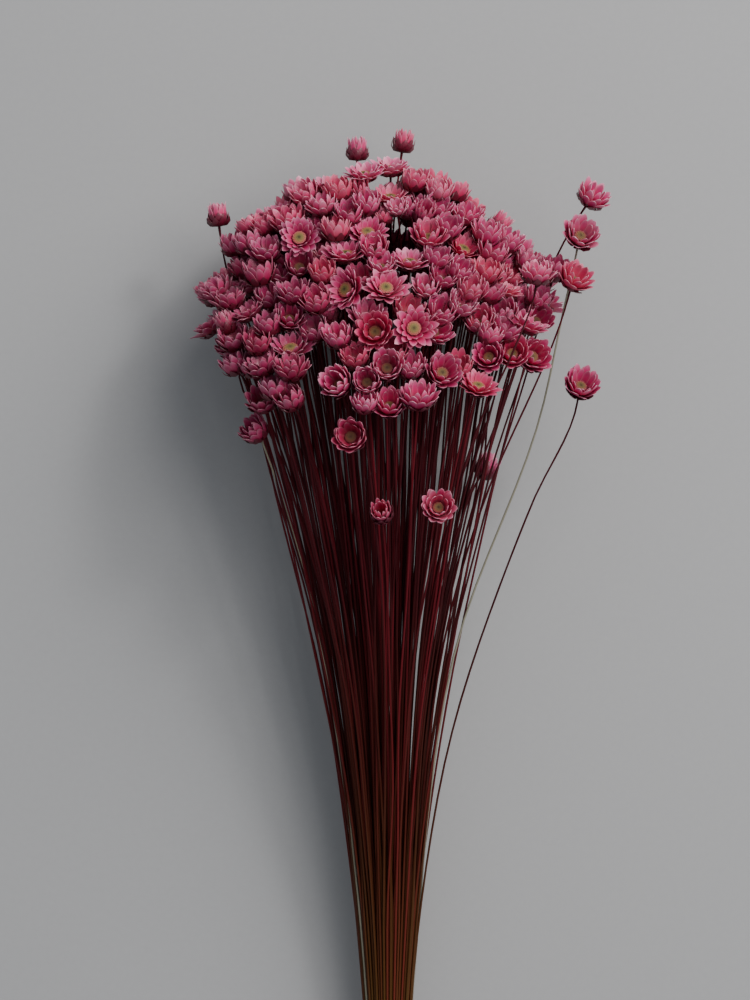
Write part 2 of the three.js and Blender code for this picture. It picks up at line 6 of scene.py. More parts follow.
import bmesh
import bpy
import numpy as np
from mathutils import Matrix, Vector
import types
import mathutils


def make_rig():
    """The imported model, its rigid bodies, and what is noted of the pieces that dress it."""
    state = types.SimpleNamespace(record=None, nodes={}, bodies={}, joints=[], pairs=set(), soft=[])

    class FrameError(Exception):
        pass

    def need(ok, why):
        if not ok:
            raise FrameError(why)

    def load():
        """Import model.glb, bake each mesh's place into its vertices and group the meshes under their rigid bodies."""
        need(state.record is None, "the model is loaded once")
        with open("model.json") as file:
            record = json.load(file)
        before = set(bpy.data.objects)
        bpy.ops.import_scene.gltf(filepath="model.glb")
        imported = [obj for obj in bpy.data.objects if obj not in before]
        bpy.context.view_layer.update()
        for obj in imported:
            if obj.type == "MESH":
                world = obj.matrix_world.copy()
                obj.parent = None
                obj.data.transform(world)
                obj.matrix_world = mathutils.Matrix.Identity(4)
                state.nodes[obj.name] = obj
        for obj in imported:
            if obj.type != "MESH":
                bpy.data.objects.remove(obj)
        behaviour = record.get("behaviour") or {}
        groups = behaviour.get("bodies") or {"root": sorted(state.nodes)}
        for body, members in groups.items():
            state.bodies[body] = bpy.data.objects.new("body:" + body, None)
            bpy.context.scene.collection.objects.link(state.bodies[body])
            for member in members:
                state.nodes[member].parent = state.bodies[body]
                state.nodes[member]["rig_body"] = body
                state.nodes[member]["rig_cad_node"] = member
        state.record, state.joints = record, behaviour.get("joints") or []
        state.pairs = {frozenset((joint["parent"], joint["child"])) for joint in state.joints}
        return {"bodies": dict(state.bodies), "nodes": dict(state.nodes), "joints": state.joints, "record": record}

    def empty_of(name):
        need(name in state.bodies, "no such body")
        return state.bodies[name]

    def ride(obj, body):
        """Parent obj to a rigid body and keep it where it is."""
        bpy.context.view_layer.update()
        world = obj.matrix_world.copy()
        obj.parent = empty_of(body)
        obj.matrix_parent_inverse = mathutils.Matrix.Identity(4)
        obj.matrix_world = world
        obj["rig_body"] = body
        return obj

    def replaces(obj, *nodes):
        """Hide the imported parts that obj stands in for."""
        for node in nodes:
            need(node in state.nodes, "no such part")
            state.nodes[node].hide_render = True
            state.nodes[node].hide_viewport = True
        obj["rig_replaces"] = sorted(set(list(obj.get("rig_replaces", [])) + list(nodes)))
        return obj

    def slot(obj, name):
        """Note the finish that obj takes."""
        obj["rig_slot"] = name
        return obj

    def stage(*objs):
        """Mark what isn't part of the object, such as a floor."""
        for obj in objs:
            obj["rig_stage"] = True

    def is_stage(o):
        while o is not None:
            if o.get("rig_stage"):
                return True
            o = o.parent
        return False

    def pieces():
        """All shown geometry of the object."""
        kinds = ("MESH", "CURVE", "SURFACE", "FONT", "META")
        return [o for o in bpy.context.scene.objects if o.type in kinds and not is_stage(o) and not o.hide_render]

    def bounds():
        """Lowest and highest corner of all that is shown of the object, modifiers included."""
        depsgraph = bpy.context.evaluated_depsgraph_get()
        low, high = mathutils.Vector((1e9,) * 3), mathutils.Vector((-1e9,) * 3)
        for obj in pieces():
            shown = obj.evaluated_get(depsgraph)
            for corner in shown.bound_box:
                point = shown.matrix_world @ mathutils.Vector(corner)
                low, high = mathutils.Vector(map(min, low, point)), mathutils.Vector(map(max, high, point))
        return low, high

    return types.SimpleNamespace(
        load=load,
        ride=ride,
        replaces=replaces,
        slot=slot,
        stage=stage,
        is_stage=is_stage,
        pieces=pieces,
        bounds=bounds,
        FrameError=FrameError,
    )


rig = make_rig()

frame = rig.load()
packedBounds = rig.bounds()

# The bunch is laid out in millimetres in a frame of its own, as in the CAD source: x across, y along
# the stems from the cut ends to the flowers, z the depth towards the viewer. toWorld() leans it back.
bunch = {
    "leanAngle": math.radians(6.2),
    "restHeight": 8.2,
    "shiftAcross": -5.0,
    "shiftAlong": -200.3,
    "gap": 0.32,
    "seed": 4021,
    "metresPerMillimetre": 0.001,
    "softFloor": 0.5,
    "sharpDegrees": 50.0,
}

# The dome that the heads fill: its size, and how it falls away to the sides, the front and the back
dome = {
    "middle": -4.5,
    "halfWidth": 60.5,
    "top": 383.0,
    "ridgeDepth": -8.0,
    "frontDepth": 50.0,
    "backDepth": -41.5,
    "sideFall": 40.0,
    "frontFall": 82.0,
    "backFall": 46.0,
    "roundness": 1.35,
    "sidePower": 2.2,
    "deepestShare": 1.08,
    "layerHalfHeight": 7.0,
    "restRoom": 3.8,
    "planSlack": 1.03,
}

# The stems' routes: levels are measured from the lowest cut end
stems = {
    "radius": 0.54,
    "tieAlong": 48.0,
    "tieReach": 7.9,
    "cutFlare": 0.3,
    "cutStagger": 8.0,
    "spreadPower": 2.0,
    "trunkTop": 100.0,
    "bendLevel": 205.0,
    "curveLevel": 262.0,
    "curveEnd": 285.0,
    "spacing": 1.4,
    "waistSpacing": 0.97,
    "rootSpacing": 1.38,
    "rootReach": 11.3,
    "frontDepthReach": 0.9,
    "backDepthReach": 0.62,
    "nodLimit": 0.72,
    "nodLength": 3.5,
    "nodDrop": 4.5,
    "push": 0.4,
}

# The heads that no list below places
free = {
    "placeCount": 244,
    "placeTries": 16000,
    "frontSpacing": 6.3,
    "backSpacing": 8.2,
    "usualRoom": 4.5,
    "cleftRoom": 6.0,
    "fixedRoom": 5.0,
    "smallestSize": 0.9,
    "sizeSpread": 0.14,
    "spinSpread": 0.8,
    "push": 0.3,
    "budShare": 0.1,
    "cupShare": 0.62,
    "wideShare": 0.2,
    "sprayCount": 48,
    "cellMargin": 2,
}

# How the layout settles, and how it sees to it that nothing touches
settling = {
    "spreadRounds": 60,
    "settleRounds": 80,
    "shrinkRounds": 4,
    "bendRounds": 20,
    "shrinkShare": 0.5,
    "nearby": 60.0,
    "longestMove": 1.0,
    "stemRoomShare": 0.6,
}

# How far the heads lean out, and how much they turn to where the dome's surface faces
facing = {
    "outwardLean": 0.004,
    "backTurn": 0.45,
    "frontTurn": 0.35,
    "lobeTurn": 0.4,
    "lobeMiddle": 5,
    "lobeHalfWidth": 32,
    "wanderShare": 0.35,
}
farAway = 1e9
tiny = 1e-12
noBall = -1000.0

# Each kind of head: radius and height of the belly and of the bract tips, and the room it takes
headKinds = {
    "bud": {"belly": (2.9, 2.4), "tip": (2.4, 7.4), "room": 3.3},
    "cup": {"belly": (3.7, 2.3), "tip": (4.8, 8.0), "room": 4.5},
    "wide": {"belly": (3.7, 2.0), "tip": (6.0, 6.9), "room": 5.3},
    "open": {"belly": (3.3, 1.5), "tip": (7.9, 4.9), "room": 6.6},
}

# Two balls stand for a head while the layout settles
baseBall = {"along": 0.3, "radius": 0.8}
crownBall = {"along": 0.72, "radius": 0.86}

# Heads that show most in front: across, along, kind, where they face, how far they stand proud
frontHeads = [
    (-33, 360, "open", (-0.1, 0.35, 0.93), 6),
    (-33, 350, "cup", (0, 0.5, 0.85), 2),
    (-15.5, 340, "open", (-0.6, 0.25, 0.75), 5),
    (-0.8, 340.5, "open", (0.05, 0.6, 0.8), 5),
    (8, 350.5, "open", (0.05, 0.9, 0.4), 2),
    (-15.8, 353.5, "open", (-0.1, 0.9, 0.4), 2),
    (14, 341, "wide", (0, 0.75, 0.65), 3),
    (9.4, 325.5, "open", (0.05, 0.15, 0.98), 6),
    (-5, 324.5, "wide", (-0.1, 0.2, 0.96), 5),
    (18, 325, "cup", (0.5, 0.3, 0.75), 2),
    (-8, 306, "cup", (-0.1, 0.3, 0.92), 4),
    (-0.5, 311.5, "cup", (0, 0.35, 0.92), 4),
    (-19, 305.5, "cup", (-0.4, 0.35, 0.8), 2),
    (-8.6, 298, "cup", (0, 0.85, 0.5), 1),
    (11, 300, "wide", (0.05, 0.85, 0.5), 2),
    (20, 309.5, "wide", (0.25, 0.4, 0.85), 2),
    (37, 315.5, "wide", (-0.1, 0.3, 0.92), 1),
    (46, 317, "wide", (0.1, 0.35, 0.9), 1),
    (54, 316, "wide", (0.35, 0.3, 0.88), 1),
    (56, 330, "cup", (0.35, 0.4, 0.82), 2),
    (42, 332, "cup", (-0.1, 0.7, 0.7), 1),
    (33.5, 329, "cup", (0, 0.65, 0.75), 1),
    (-36.5, 330, "wide", (0, 0.6, 0.75), 2),
    (-22.7, 380, "open", (-0.1, 0.95, 0.28), 0),
    (1, 387, "open", (0, 0.95, 0.3), 0),
    (8, 371, "cup", (0, 0.9, 0.4), 1),
    (-1.5, 368, "cup", (0, 0.97, 0.2), 1),
    (29, 369, "wide", (0.1, 0.9, 0.4), 1),
]

# Heads that fill the front, free to settle among the rest: across, along, kind, how far proud
fillHeads = [
    (-25.4, 338, "cup", 0),
    (23, 337, "cup", 0),
    (-9.6, 334, "wide", 1),
    (-21.2, 325.5, "cup", 1),
    (-13.8, 324.4, "cup", 1),
    (-12.2, 315, "cup", 0),
    (1.3, 356, "wide", 1),
    (19.9, 351.8, "cup", 1),
    (28.3, 348.6, "cup", 0),
    (35.1, 343.4, "cup", 1),
    (13.5, 359, "wide", 0),
    (4.5, 333, "cup", 0),
    (25, 316, "cup", 0),
    (3, 318, "cup", -1),
]

# Stray heads: across, along, depth, kind, where they face, and the points their stems bend through
strayHeads = [
    (-11.6, 394, -13, "bud", (0, 1, 0.05), ()),
    (5.8, 397.5, -20, "bud", (0.15, 0.98, 0.1), ()),
    (-64, 369, -9, "bud", (-0.12, 0.98, 0.1), ()),
    (76.5, 376, 4, "wide", (0.5, 0.72, 0.48), ()),
    (72, 361.5, 10, "wide", (0.25, 0.5, 0.82), ((58, 297, 5), (66, 335, 8))),
    (69.5, 345, 16, "wide", (0.4, 0.65, 0.65), ()),
    (62.5, 349, 3, "cup", (0.2, 0.85, 0.45), ()),
    (54.8, 345.5, 40, "wide", (0.1, 0.95, 0.3), ((35, 290, 35), (47, 318, 39))),
    (72, 305.5, 14, "wide", (0.25, 0.6, 0.75), ()),
    (18.4, 260, 46, "wide", (0.05, 0.25, 0.96), ()),
    (-14, 286, 50, "cup", (-0.1, 0.2, 0.96), ()),
    (-2.6, 258, 43, "bud", (-0.1, 0.4, 0.9), ()),
    (-46.5, 299.5, 34, "cup", (-0.3, 0.6, 0.7), ()),
    (-49.5, 288.5, 24, "cup", (-0.6, 0.6, 0.5), ()),
    (37, 274.5, -23, "bud", (0.5, 0.8, -0.2), ()),
    (-58, 320, 12, "wide", (-0.5, 0.75, 0.4), ((-46.5, 292, 9), (-55.5, 307.5, 9))),
]

# Strays, by their place in that list, whose stems stayed a pale grey-green
paleStrays = (4, 13)

# Dark clefts in the dome, where no head stands: across, along
clefts = [(-25.5, 315), (-27, 303), (4.5, 359.5), (26, 322)]


# The same row of draws as in the CAD source, by the same multiplier and modulus
def seededDraw(seed):
    multiplier, modulus = 16807, 2147483647
    state = [seed]

    def draw():
        state[0] = (state[0] * multiplier) % modulus
        return state[0] / modulus

    return draw


def toWorld(points):
    sine = math.sin(bunch["leanAngle"])
    cosine = math.cos(bunch["leanAngle"])
    across, along, depth = points[..., 0], points[..., 1], points[..., 2]
    x = across + bunch["shiftAcross"]
    y = along * cosine - depth * sine + bunch["shiftAlong"]
    z = along * sine + depth * cosine + bunch["restHeight"]
    # What would reach through the surface below flattens against it
    soft = bunch["softFloor"]
    z = np.where(z < soft, soft * np.exp((np.minimum(z, soft) - soft) / soft), z)
    return np.stack([x, y, z], axis=-1) * bunch["metresPerMillimetre"]


def unit(vectors):
    return vectors / np.linalg.norm(vectors, axis=-1, keepdims=True)


# The dome's surface: how far along it is, and how deep in front
def domeAlong(across, depth):
    side = np.abs(across - dome["middle"]) / dome["halfWidth"]
    front = depth > dome["ridgeDepth"]
    frontReach = dome["frontDepth"] - dome["ridgeDepth"]
    reach = np.where(front, frontReach, dome["ridgeDepth"] - dome["backDepth"])
    fall = np.where(front, dome["frontFall"], dome["backFall"])
    inward = (np.abs(depth - dome["ridgeDepth"]) / reach) ** dome["roundness"]
    return dome["top"] - dome["sideFall"] * side ** dome["sidePower"] - fall * inward


def domeDepth(across, along):
    side = abs(across - dome["middle"]) / dome["halfWidth"]
    fall = max(dome["top"] - dome["sideFall"] * side ** dome["sidePower"] - along, 0)
    share = min((fall / dome["frontFall"]) ** (1 / dome["roundness"]), dome["deepestShare"])
    return dome["ridgeDepth"] + (dome["frontDepth"] - dome["ridgeDepth"]) * share


# Depth of the surface that the bunch lies on
def floorDepth(along):
    lean = bunch["leanAngle"]
    return -(bunch["restHeight"] + along * math.sin(lean)) / math.cos(lean)


# How far out a place is in the dome's plan, 1 at its edge
def planReach(across, depth):
    front = dome["frontDepth"] - dome["ridgeDepth"]
    back = dome["ridgeDepth"] - dome["backDepth"]
    half = np.where(depth > dome["ridgeDepth"], front, back)
    aside = (across - dome["middle"]) / dome["halfWidth"]
    return np.hypot(aside, (depth - dome["ridgeDepth"]) / half)


def keepOnDome(place):
    reach = planReach(place[:, 0], place[:, 2])
    scale = np.where(reach > dome["planSlack"], dome["planSlack"] / reach, 1.0)
    place[:, 0] = dome["middle"] + (place[:, 0] - dome["middle"]) * scale
    place[:, 2] = dome["ridgeDepth"] + (place[:, 2] - dome["ridgeDepth"]) * scale
    surface = domeAlong(place[:, 0], place[:, 2])
    half = dome["layerHalfHeight"]
    place[:, 1] = np.clip(place[:, 1], surface - half, surface + half)
    place[:, 2] = np.maximum(place[:, 2], floorDepth(place[:, 1]) + dome["restRoom"])


def domeNormal(place):
    step = 2.0
    x, z = place[:, 0], place[:, 2]
    across = domeAlong(x + step, z) - domeAlong(x - step, z)
    depth = domeAlong(x, z + step) - domeAlong(x, z - step)
    return unit(np.stack([-across / (2 * step), np.ones_like(x), -depth / (2 * step)], axis=1))


# Where heads face: up the stems, turned to the dome's surface, most of all in the lobe in front
def freeFacing(place, wander):
    lean = facing["outwardLean"]
    upright = np.stack([place[:, 0] * lean, np.ones(len(place)), place[:, 2] * lean], axis=1)
    lobe = np.exp(-(((place[:, 0] - facing["lobeMiddle"]) / facing["lobeHalfWidth"]) ** 2))
    frontTurn = facing["frontTurn"] + facing["lobeTurn"] * lobe
    share = np.where(place[:, 2] > dome["ridgeDepth"], frontTurn, facing["backTurn"])[:, None]
    return unit(upright + (domeNormal(place) - upright) * share + wander * facing["wanderShare"])


# Necks, balls and stem directions of the heads, from their places; a cleft is one plain ball
def measureHeads(heads):
    tipHeight = heads.tip[:, 1] * heads.size
    heads.neck = heads.place - heads.faces * (0.5 * tipHeight)[:, None]
    base = heads.neck + heads.faces * (baseBall["along"] * tipHeight)[:, None]
    crown = heads.neck + heads.faces * (crownBall["along"] * tipHeight)[:, None]
    heads.ballMiddle = np.stack([base, crown], axis=1)
    baseRadius = baseBall["radius"] * heads.belly[:, 0] * heads.size
    crownRadius = crownBall["radius"] * heads.tip[:, 0] * heads.size
    heads.ballRadius = np.stack([baseRadius, crownRadius], axis=1)
    cleft = ~heads.flower
    heads.ballMiddle[cleft] = heads.place[cleft][:, None, :]
    heads.ballRadius[cleft, 0] = heads.room[cleft]
    heads.ballRadius[cleft, 1] = noBall
    slope = -stems["spreadPower"] / (heads.neck[:, 1] - stems["tieAlong"])
    ways = [heads.neck[:, 0] * slope, -np.ones(len(slope)), heads.neck[:, 2] * slope]
    heads.stemWay = np.stack(ways, axis=1)


# How far points lie from the stems' lines, and whether they lie below the necks
def stemOffsets(neck, way, points):
    offset = points - neck
    down = (offset * way).sum(-1) / (way * way).sum(-1)
    across = offset - way * down[..., None]
    return across, down > 0


def drawnKind(share):
    if share < free["budShare"]:
        return "bud"
    if share < free["budShare"] + free["cupShare"]:
        return "cup"
    return "wide" if share < free["budShare"] + free["cupShare"] + free["wideShare"] else "open"


# Rows of heads: the lists' own, the clefts, and then the free ones, where there is room
def drawHeads():
    draw = seededDraw(bunch["seed"])
    rows = []

    def addHead(place, kind, faces, fixed, bends=()):
        wander = [draw() - 0.5, draw() - 0.5, draw() - 0.5]
        size = free["smallestSize"] + free["sizeSpread"] * draw()
        spin = free["spinSpread"] * (draw() - 0.5)
        cutAt = stems["cutStagger"] * draw()
        row = {"place": place, "kind": kind, "faces": faces, "fixed": fixed, "bends": bends}
        row.update(wander=wander, size=size, spin=spin, cutAt=cutAt)
        row.update(headKinds.get(kind, {"belly": (1, 1), "tip": (1, 1), "room": free["cleftRoom"]}))
        rows.append(row)

    for across, along, kind, faces, proud in frontHeads:
        place = (across, along, domeDepth(across, along) + proud)
        addHead(place, kind, unit(np.array(faces, float)), True)
    for number, (across, along, depth, kind, faces, bends) in enumerate(strayHeads):
        addHead((across, along, depth), kind, unit(np.array(faces, float)), True, bends)
        rows[-1]["pale"] = float(number in paleStrays)
    for across, along, kind, proud in fillHeads:
        addHead((across, along, domeDepth(across, along) + proud), kind, (0, 1, 0), False)
    for across, along in clefts:
        addHead((across, along, domeDepth(across, along)), None, (0, 1, 0), True)

    placed = gather(rows)
    measureHeads(placed)
    standing = placed.flower & placed.fixed
    fixedCount = int(placed.fixed.sum())
    for _ in range(free["placeTries"]):
        if len(rows) >= free["placeCount"]:
            break
        across = dome["middle"] + dome["halfWidth"] * (2 * draw() - 1)
        depth = dome["backDepth"] + (dome["frontDepth"] - dome["backDepth"]) * draw()
        lift = dome["layerHalfHeight"] * (2 * draw() - 1)
        place = np.array([across, float(domeAlong(across, depth)) + lift, depth])
        kindDraw = draw()
        spacing = free["frontSpacing"] if depth > dome["ridgeDepth"] else free["backSpacing"]
        distance = np.linalg.norm(np.array([row["place"] for row in rows]) - place, axis=1)
        rooms = np.array([row["room"] for row in rows])
        held = np.array([row["fixed"] for row in rows])
        wanted = np.where(held, rooms + free["fixedRoom"], spacing * rooms / free["usualRoom"])
        offset, below = stemOffsets(placed.neck, placed.stemWay, place)
        onStem = below & standing & (np.linalg.norm(offset, axis=1) <= free["fixedRoom"])
        clear = not (distance < wanted).any() and not onStem.any()
        if planReach(across, depth) < 1 and clear:
            addHead(tuple(place), drawnKind(kindDraw), (0, 1, 0), False)
    print("heads drawn:", len(rows), "fixed:", fixedCount)
    return rows


# The rows as arrays
def gather(rows):
    heads = SimpleNamespace(rows=rows)
    for name in ("place", "faces", "wander", "size", "spin", "cutAt", "belly", "tip", "room"):
        setattr(heads, name, np.array([row[name] for row in rows], dtype=float))
    heads.fixed = np.array([row["fixed"] for row in rows])
    heads.flower = np.array([row["kind"] is not None for row in rows])
    return heads


# Points after one push away from those that are nearer than wanted
def pushedApart(points, wanted, push):
    between = points[None] - points[:, None]
    distance = np.linalg.norm(between, axis=2)
    np.fill_diagonal(distance, farAway)
    share = np.where(distance < wanted, push * (wanted - distance) / distance, 0.0)
    return points - (between * share[:, :, None]).sum(axis=1)


# Pushes the free heads apart until each has its room
def spreadHeads(heads):
    wanted = heads.room[:, None] + heads.room[None, :]
    for _ in range(settling["spreadRounds"]):
        moved = pushedApart(heads.place, wanted, free["push"])
        keepOnDome(moved)
        heads.place = np.where(heads.fixed[:, None], heads.place, moved)


# Pushes heads, and heads and stems, apart where they would touch
def settleHeads(heads):
    stemRoom = settling["stemRoomShare"] * stems["radius"] + bunch["gap"]
    count = len(heads.place)
    upper = np.triu(np.ones((count, count), bool), 1)
    apart = ~np.eye(count, dtype=bool)
    for _ in range(settling["settleRounds"]):
        heads.faces = np.where(heads.fixed[:, None], heads.faces, freeFacing(heads.place, heads.wander))
        measureHeads(heads)
        close = np.linalg.norm(heads.place[:, None] - heads.place[None], axis=2) <= settling["nearby"]
        moves = np.zeros_like(heads.place)
        for a in range(2):
            middle = heads.ballMiddle[:, a]
            radius = heads.ballRadius[:, a]
            for b in range(2):
                between = heads.ballMiddle[None, :, b] - middle[:, None]
                distance = np.linalg.norm(between, axis=2) + tiny
                wanted = radius[:, None] + heads.ballRadius[None, :, b] + bunch["gap"]
                hit = close & upper & (distance < wanted)
                share = np.where(hit, free["push"] * (wanted - distance) / distance, 0.0)
                push = between * share[:, :, None]
                moves -= push.sum(axis=1)
                moves += push.sum(axis=0)
            offset, below = stemOffsets(heads.neck[None, :], heads.stemWay[None, :], middle[:, None, :])
            distance = np.linalg.norm(offset, axis=2) + tiny
            wanted = np.broadcast_to((radius + stemRoom)[:, None], distance.shape)
            hit = close & apart & below & heads.flower[None, :] & (distance < wanted)
            share = np.where(hit, free["push"] * (wanted - distance) / distance, 0.0)
            push = -offset * share[:, :, None]
            moves -= push.sum(axis=1)
            moves += push.sum(axis=0)
        length = np.linalg.norm(moves, axis=1, keepdims=True)
        moved = heads.place + moves / np.maximum(length / settling["longestMove"], 1.0)
        keepOnDome(moved)
        heads.place = np.where(heads.fixed[:, None], heads.place, moved)


# Makes heads smaller that still touch
def shrinkHeads(heads):
    for _ in range(settling["shrinkRounds"]):
        measureHeads(heads)
        tight = np.zeros(len(heads.place))
        for a in range(2):
            for b in range(2):
                between = heads.ballMiddle[None, :, b] - heads.ballMiddle[:, None, a]
                distance = np.linalg.norm(between, axis=2)
                np.fill_diagonal(distance, farAway)
                reach = heads.ballRadius[:, None, a] + heads.ballRadius[None, :, b]
                share = (reach + bunch["gap"] - distance) / reach
                tight = np.maximum(tight, share.max(axis=1))
        heads.size = heads.size * (1 - settling["shrinkShare"] * tight)


# Pushes the stems apart on one level, and keeps them within a reach where one is given
def spreadLevel(points, wanted, rounds, reach):
    for _ in range(rounds):
        points = pushedApart(points, wanted, stems["push"])
        if reach:
            length = np.linalg.norm(points, axis=1, keepdims=True)
            points = np.where(length > reach, points * reach / length, points)
    return points


# Where each stem passes the tie, the top of the bars, the bend and the curve
def routeStems(flowers):
    measureHeads(flowers)
    nods = flowers.faces[:, 1] < stems["nodLimit"]
    bent = flowers.neck - flowers.faces * stems["nodLength"]
    bent[:, 1] -= stems["nodDrop"]
    flowers.nods = nods
    flowers.end = np.where(nods[:, None], bent, flowers.neck)
    above = flowers.end[:, 1] - stems["tieAlong"]

    def share(level):
        return ((level - stems["tieAlong"]) / above) ** stems["spreadPower"]

    depthReach = np.where(flowers.end[:, 2] > 0, stems["frontDepthReach"], stems["backDepthReach"])
    ends = flowers.end[:, [0, 2]]
    shares = share(stems["bendLevel"])[:, None]
    spread = ends * shares / np.stack([np.ones_like(depthReach), depthReach], axis=1)
    order = np.argsort(np.linalg.norm(spread, axis=1), kind="stable")
    rank = np.empty(len(order))
    rank[order] = np.arange(len(order))
    radius = stems["tieReach"] * np.sqrt((rank + 0.5) / len(order))
    rounds = settling["spreadRounds"]
    ring = unit(spread) * radius[:, None]
    tied = spreadLevel(ring, stems["waistSpacing"], rounds, stems["tieReach"])

    def at(level):
        return tied + (ends - tied) * share(level)[:, None]

    top, bend = at(stems["trunkTop"]), at(stems["bendLevel"])
    flowers.rooted = spreadLevel(top, stems["rootSpacing"], rounds, stems["rootReach"])
    flowers.bend = spreadLevel(bend, stems["spacing"], settling["bendRounds"], 0)
    flowers.curve = at(stems["curveLevel"]) + 0.5 * (flowers.bend - bend)


# Splits the flowers by their places in the tie into compact groups
def splitCells(members, rooted, count, low, high):
    if count == 1:
        return [members]
    axis = 0 if high[0] - low[0] > high[1] - low[1] else 1
    ordered = sorted(members, key=lambda index: rooted[index][axis])
    firstCount = count // 2
    cut = math.floor(len(ordered) * firstCount / count + 0.5)
    line = 0.5 * (rooted[ordered[cut - 1]][axis] + rooted[ordered[cut]][axis])
    lowHigh = list(high)
    lowHigh[axis] = line
    highLow = list(low)
    highLow[axis] = line
    first = splitCells(ordered[:cut], rooted, firstCount, low, lowHigh)
    return first + splitCells(ordered[cut:], rooted, count - firstCount, highLow, high)


def layOut():
    heads = gather(drawHeads())
    spreadHeads(heads)
    settleHeads(heads)
    keep = heads.flower
    flowers = gather([row for row, kept in zip(heads.rows, keep) if kept])
    flowers.place = heads.place[keep]
    flowers.faces = heads.faces[keep]
    shrinkHeads(flowers)
    routeStems(flowers)
    reach = stems["rootReach"] + free["cellMargin"]
    numbers = list(range(len(flowers.place)))
    corners = (-reach, -reach), (reach, reach)
    return flowers, splitCells(numbers, flowers.rooted, free["sprayCount"], *corners)


flowers, cells = layOut()
print("flowers:", len(flowers.place), "sprays:", len(cells))


# The finishes: each is a small tree of nodes, fed by the pieces' own UV map and attributes

tinting = {"data_type": "RGBA", "clamp_result": True}


# Turns an sRGB hex colour to a linear one
def colour(hexCode):
    channels = [int(hexCode[k : k + 2], 16) / 255 for k in (1, 3, 5)]
    return tuple(c / 12.92 if c <= 0.04045 else ((c + 0.055) / 1.055) ** 2.4 for c in channels) + (1.0,)


# Adds a node to a finish, with what feeds its sockets, a ramp's stops and its settings, and gives
# one of its outputs. A kind with a space in its name is a node that every finish starts with.
def addNode(finish, kind, feeds=None, output=0, stops=None, **settings):
    tree = finish.node_tree
    node = tree.nodes[kind] if " " in kind else tree.nodes.new("ShaderNode" + kind)
    for key, value in settings.items():
        setattr(node, key, value)
    if stops:
        elements = node.color_ramp.elements
        while len(elements) < len(stops):
            elements.new(0.5)
        for element, (place, tint) in zip(elements, stops.items()):
            element.position = place
            element.color = colour(tint)
    for socket, value in (feeds or {}).items():
        if isinstance(value, bpy.types.NodeSocket):
            tree.links.new(value, node.inputs[socket])
        else:
            node.inputs[socket].default_value = value
    return node.outputs[output] if node.outputs else None


# A new finish, and its own addNode
def startFinish(name):
    finish = bpy.data.materials.new(name)
    finish.use_nodes = True
    return finish, functools.partial(addNode, finish)


# Where a point lies on its piece's UV map
def ownPlace(add):
    place = add("UVMap", uv_map="UVMap")
    return [add("SeparateXYZ", {"Vector": place}, axis) for axis in "XY"]


# Noise drawn out along the UV map: how often it changes across and along, and other for each tone
def streaks(add, sources, scales, detail):
    place = {}
    for axis, source, scale in zip("XYZ", sources, scales):
        place[axis] = add("Math", {0: source, 1: scale}, operation="MULTIPLY")
    return add("TexNoise", {"Vector": add("CombineXYZ", place), "Scale": 1.0, "Detail": detail})


# Lays tints over a colour, one upon the other, each by its share
def tinted(add, body, tints, **shares):
    for name, share in shares.items():
        body = add("Mix", {0: share, 6: body, 7: colour(tints[name])}, 2, **tinting)
    return body


# Point, face, UV and attribute arrays of several parts as one
def joined(parts):
    offsets = np.cumsum([0] + [len(part["points"]) for part in parts[:-1]])
    whole = {key: np.concatenate([part[key] for part in parts]) for key in ("points", "uvs")}
    for key in ("quads", "corners"):
        whole[key] = np.concatenate([part[key] + offset for part, offset in zip(parts, offsets)])
    whole["floats"] = {}
    for name in parts[0]["floats"]:
        spread = [np.broadcast_to(part["floats"][name], len(part["points"])) for part in parts]
        whole["floats"][name] = np.concatenate(spread)
    return whole


def newObject(name, data):
    made = bpy.data.objects.new(name, data)
    bpy.context.scene.collection.objects.link(made)
    return made


# One object from parts whose points are in the bunch's frame
def placedPiece(name, parts, material, slot):
    mesh = bpy.data.meshes.new(name)
    whole = joined(parts)
    points, quads, corners = whole["points"], whole["quads"], whole["corners"]
    loops = np.concatenate([quads.ravel(), corners.ravel()]).astype(np.int32)
    starts = np.concatenate([np.arange(len(quads)) * 4, len(quads) * 4 + np.arange(len(corners)) * 3])
    mesh.vertices.add(len(points))
    mesh.vertices.foreach_set("co", toWorld(points).astype(np.float32).ravel())
    mesh.loops.add(len(loops))
    mesh.loops.foreach_set("vertex_index", loops)
    mesh.polygons.add(len(starts))
    mesh.polygons.foreach_set("loop_start", starts.astype(np.int32))
    mesh.polygons.foreach_set("use_smooth", np.ones(len(starts), bool))
    mesh.update(calc_edges=True)
    layer = mesh.uv_layers.new(name="UVMap")
    layer.data.foreach_set("uv", whole["uvs"][loops].astype(np.float32).ravel())
    for key, values in whole["floats"].items():
        made = mesh.attributes.new(key, "FLOAT", "POINT")
        made.data.foreach_set("value", values.astype(np.float32))
    mesh.set_sharp_from_angle(angle=math.radians(bunch["sharpDegrees"]))
    mesh.materials.append(material)
    piece = newObject(name, mesh)
    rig.ride(piece, "root")
    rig.slot(piece, slot)
    return piece


# For each head, the two directions across it and the one it faces, as its CAD crown is turned
def headFrames(which):
    frames = []
    for faces in flowers.faces[which]:
        turn = Vector((0, 1, 0)).rotation_difference(Vector(faces)).to_matrix()
        frames.append([turn @ Vector((1, 0, 0)), turn @ Vector((0, 0, -1)), turn @ Vector((0, 1, 0))])
    return np.array([[list(way) for way in rows] for rows in frames])


# A bract: a thin closed shell, from a grid of a few faces that is bent by formula. Lengths are in
# millimetres, and the width shares go with the levels, from the neck to the tip.
bract = {
    "thickness": 0.16,
    "baseRadius": 0.4,
    "curl": 0.8,
    "leastBend": 0.8,
    "widthLevels": (0.0, 0.2, 0.45, 0.65, 0.8, 0.92, 1.0),
    "widthShares": (0.5, 0.86, 1.0, 1.0, 0.85, 0.52, 0.04),
}

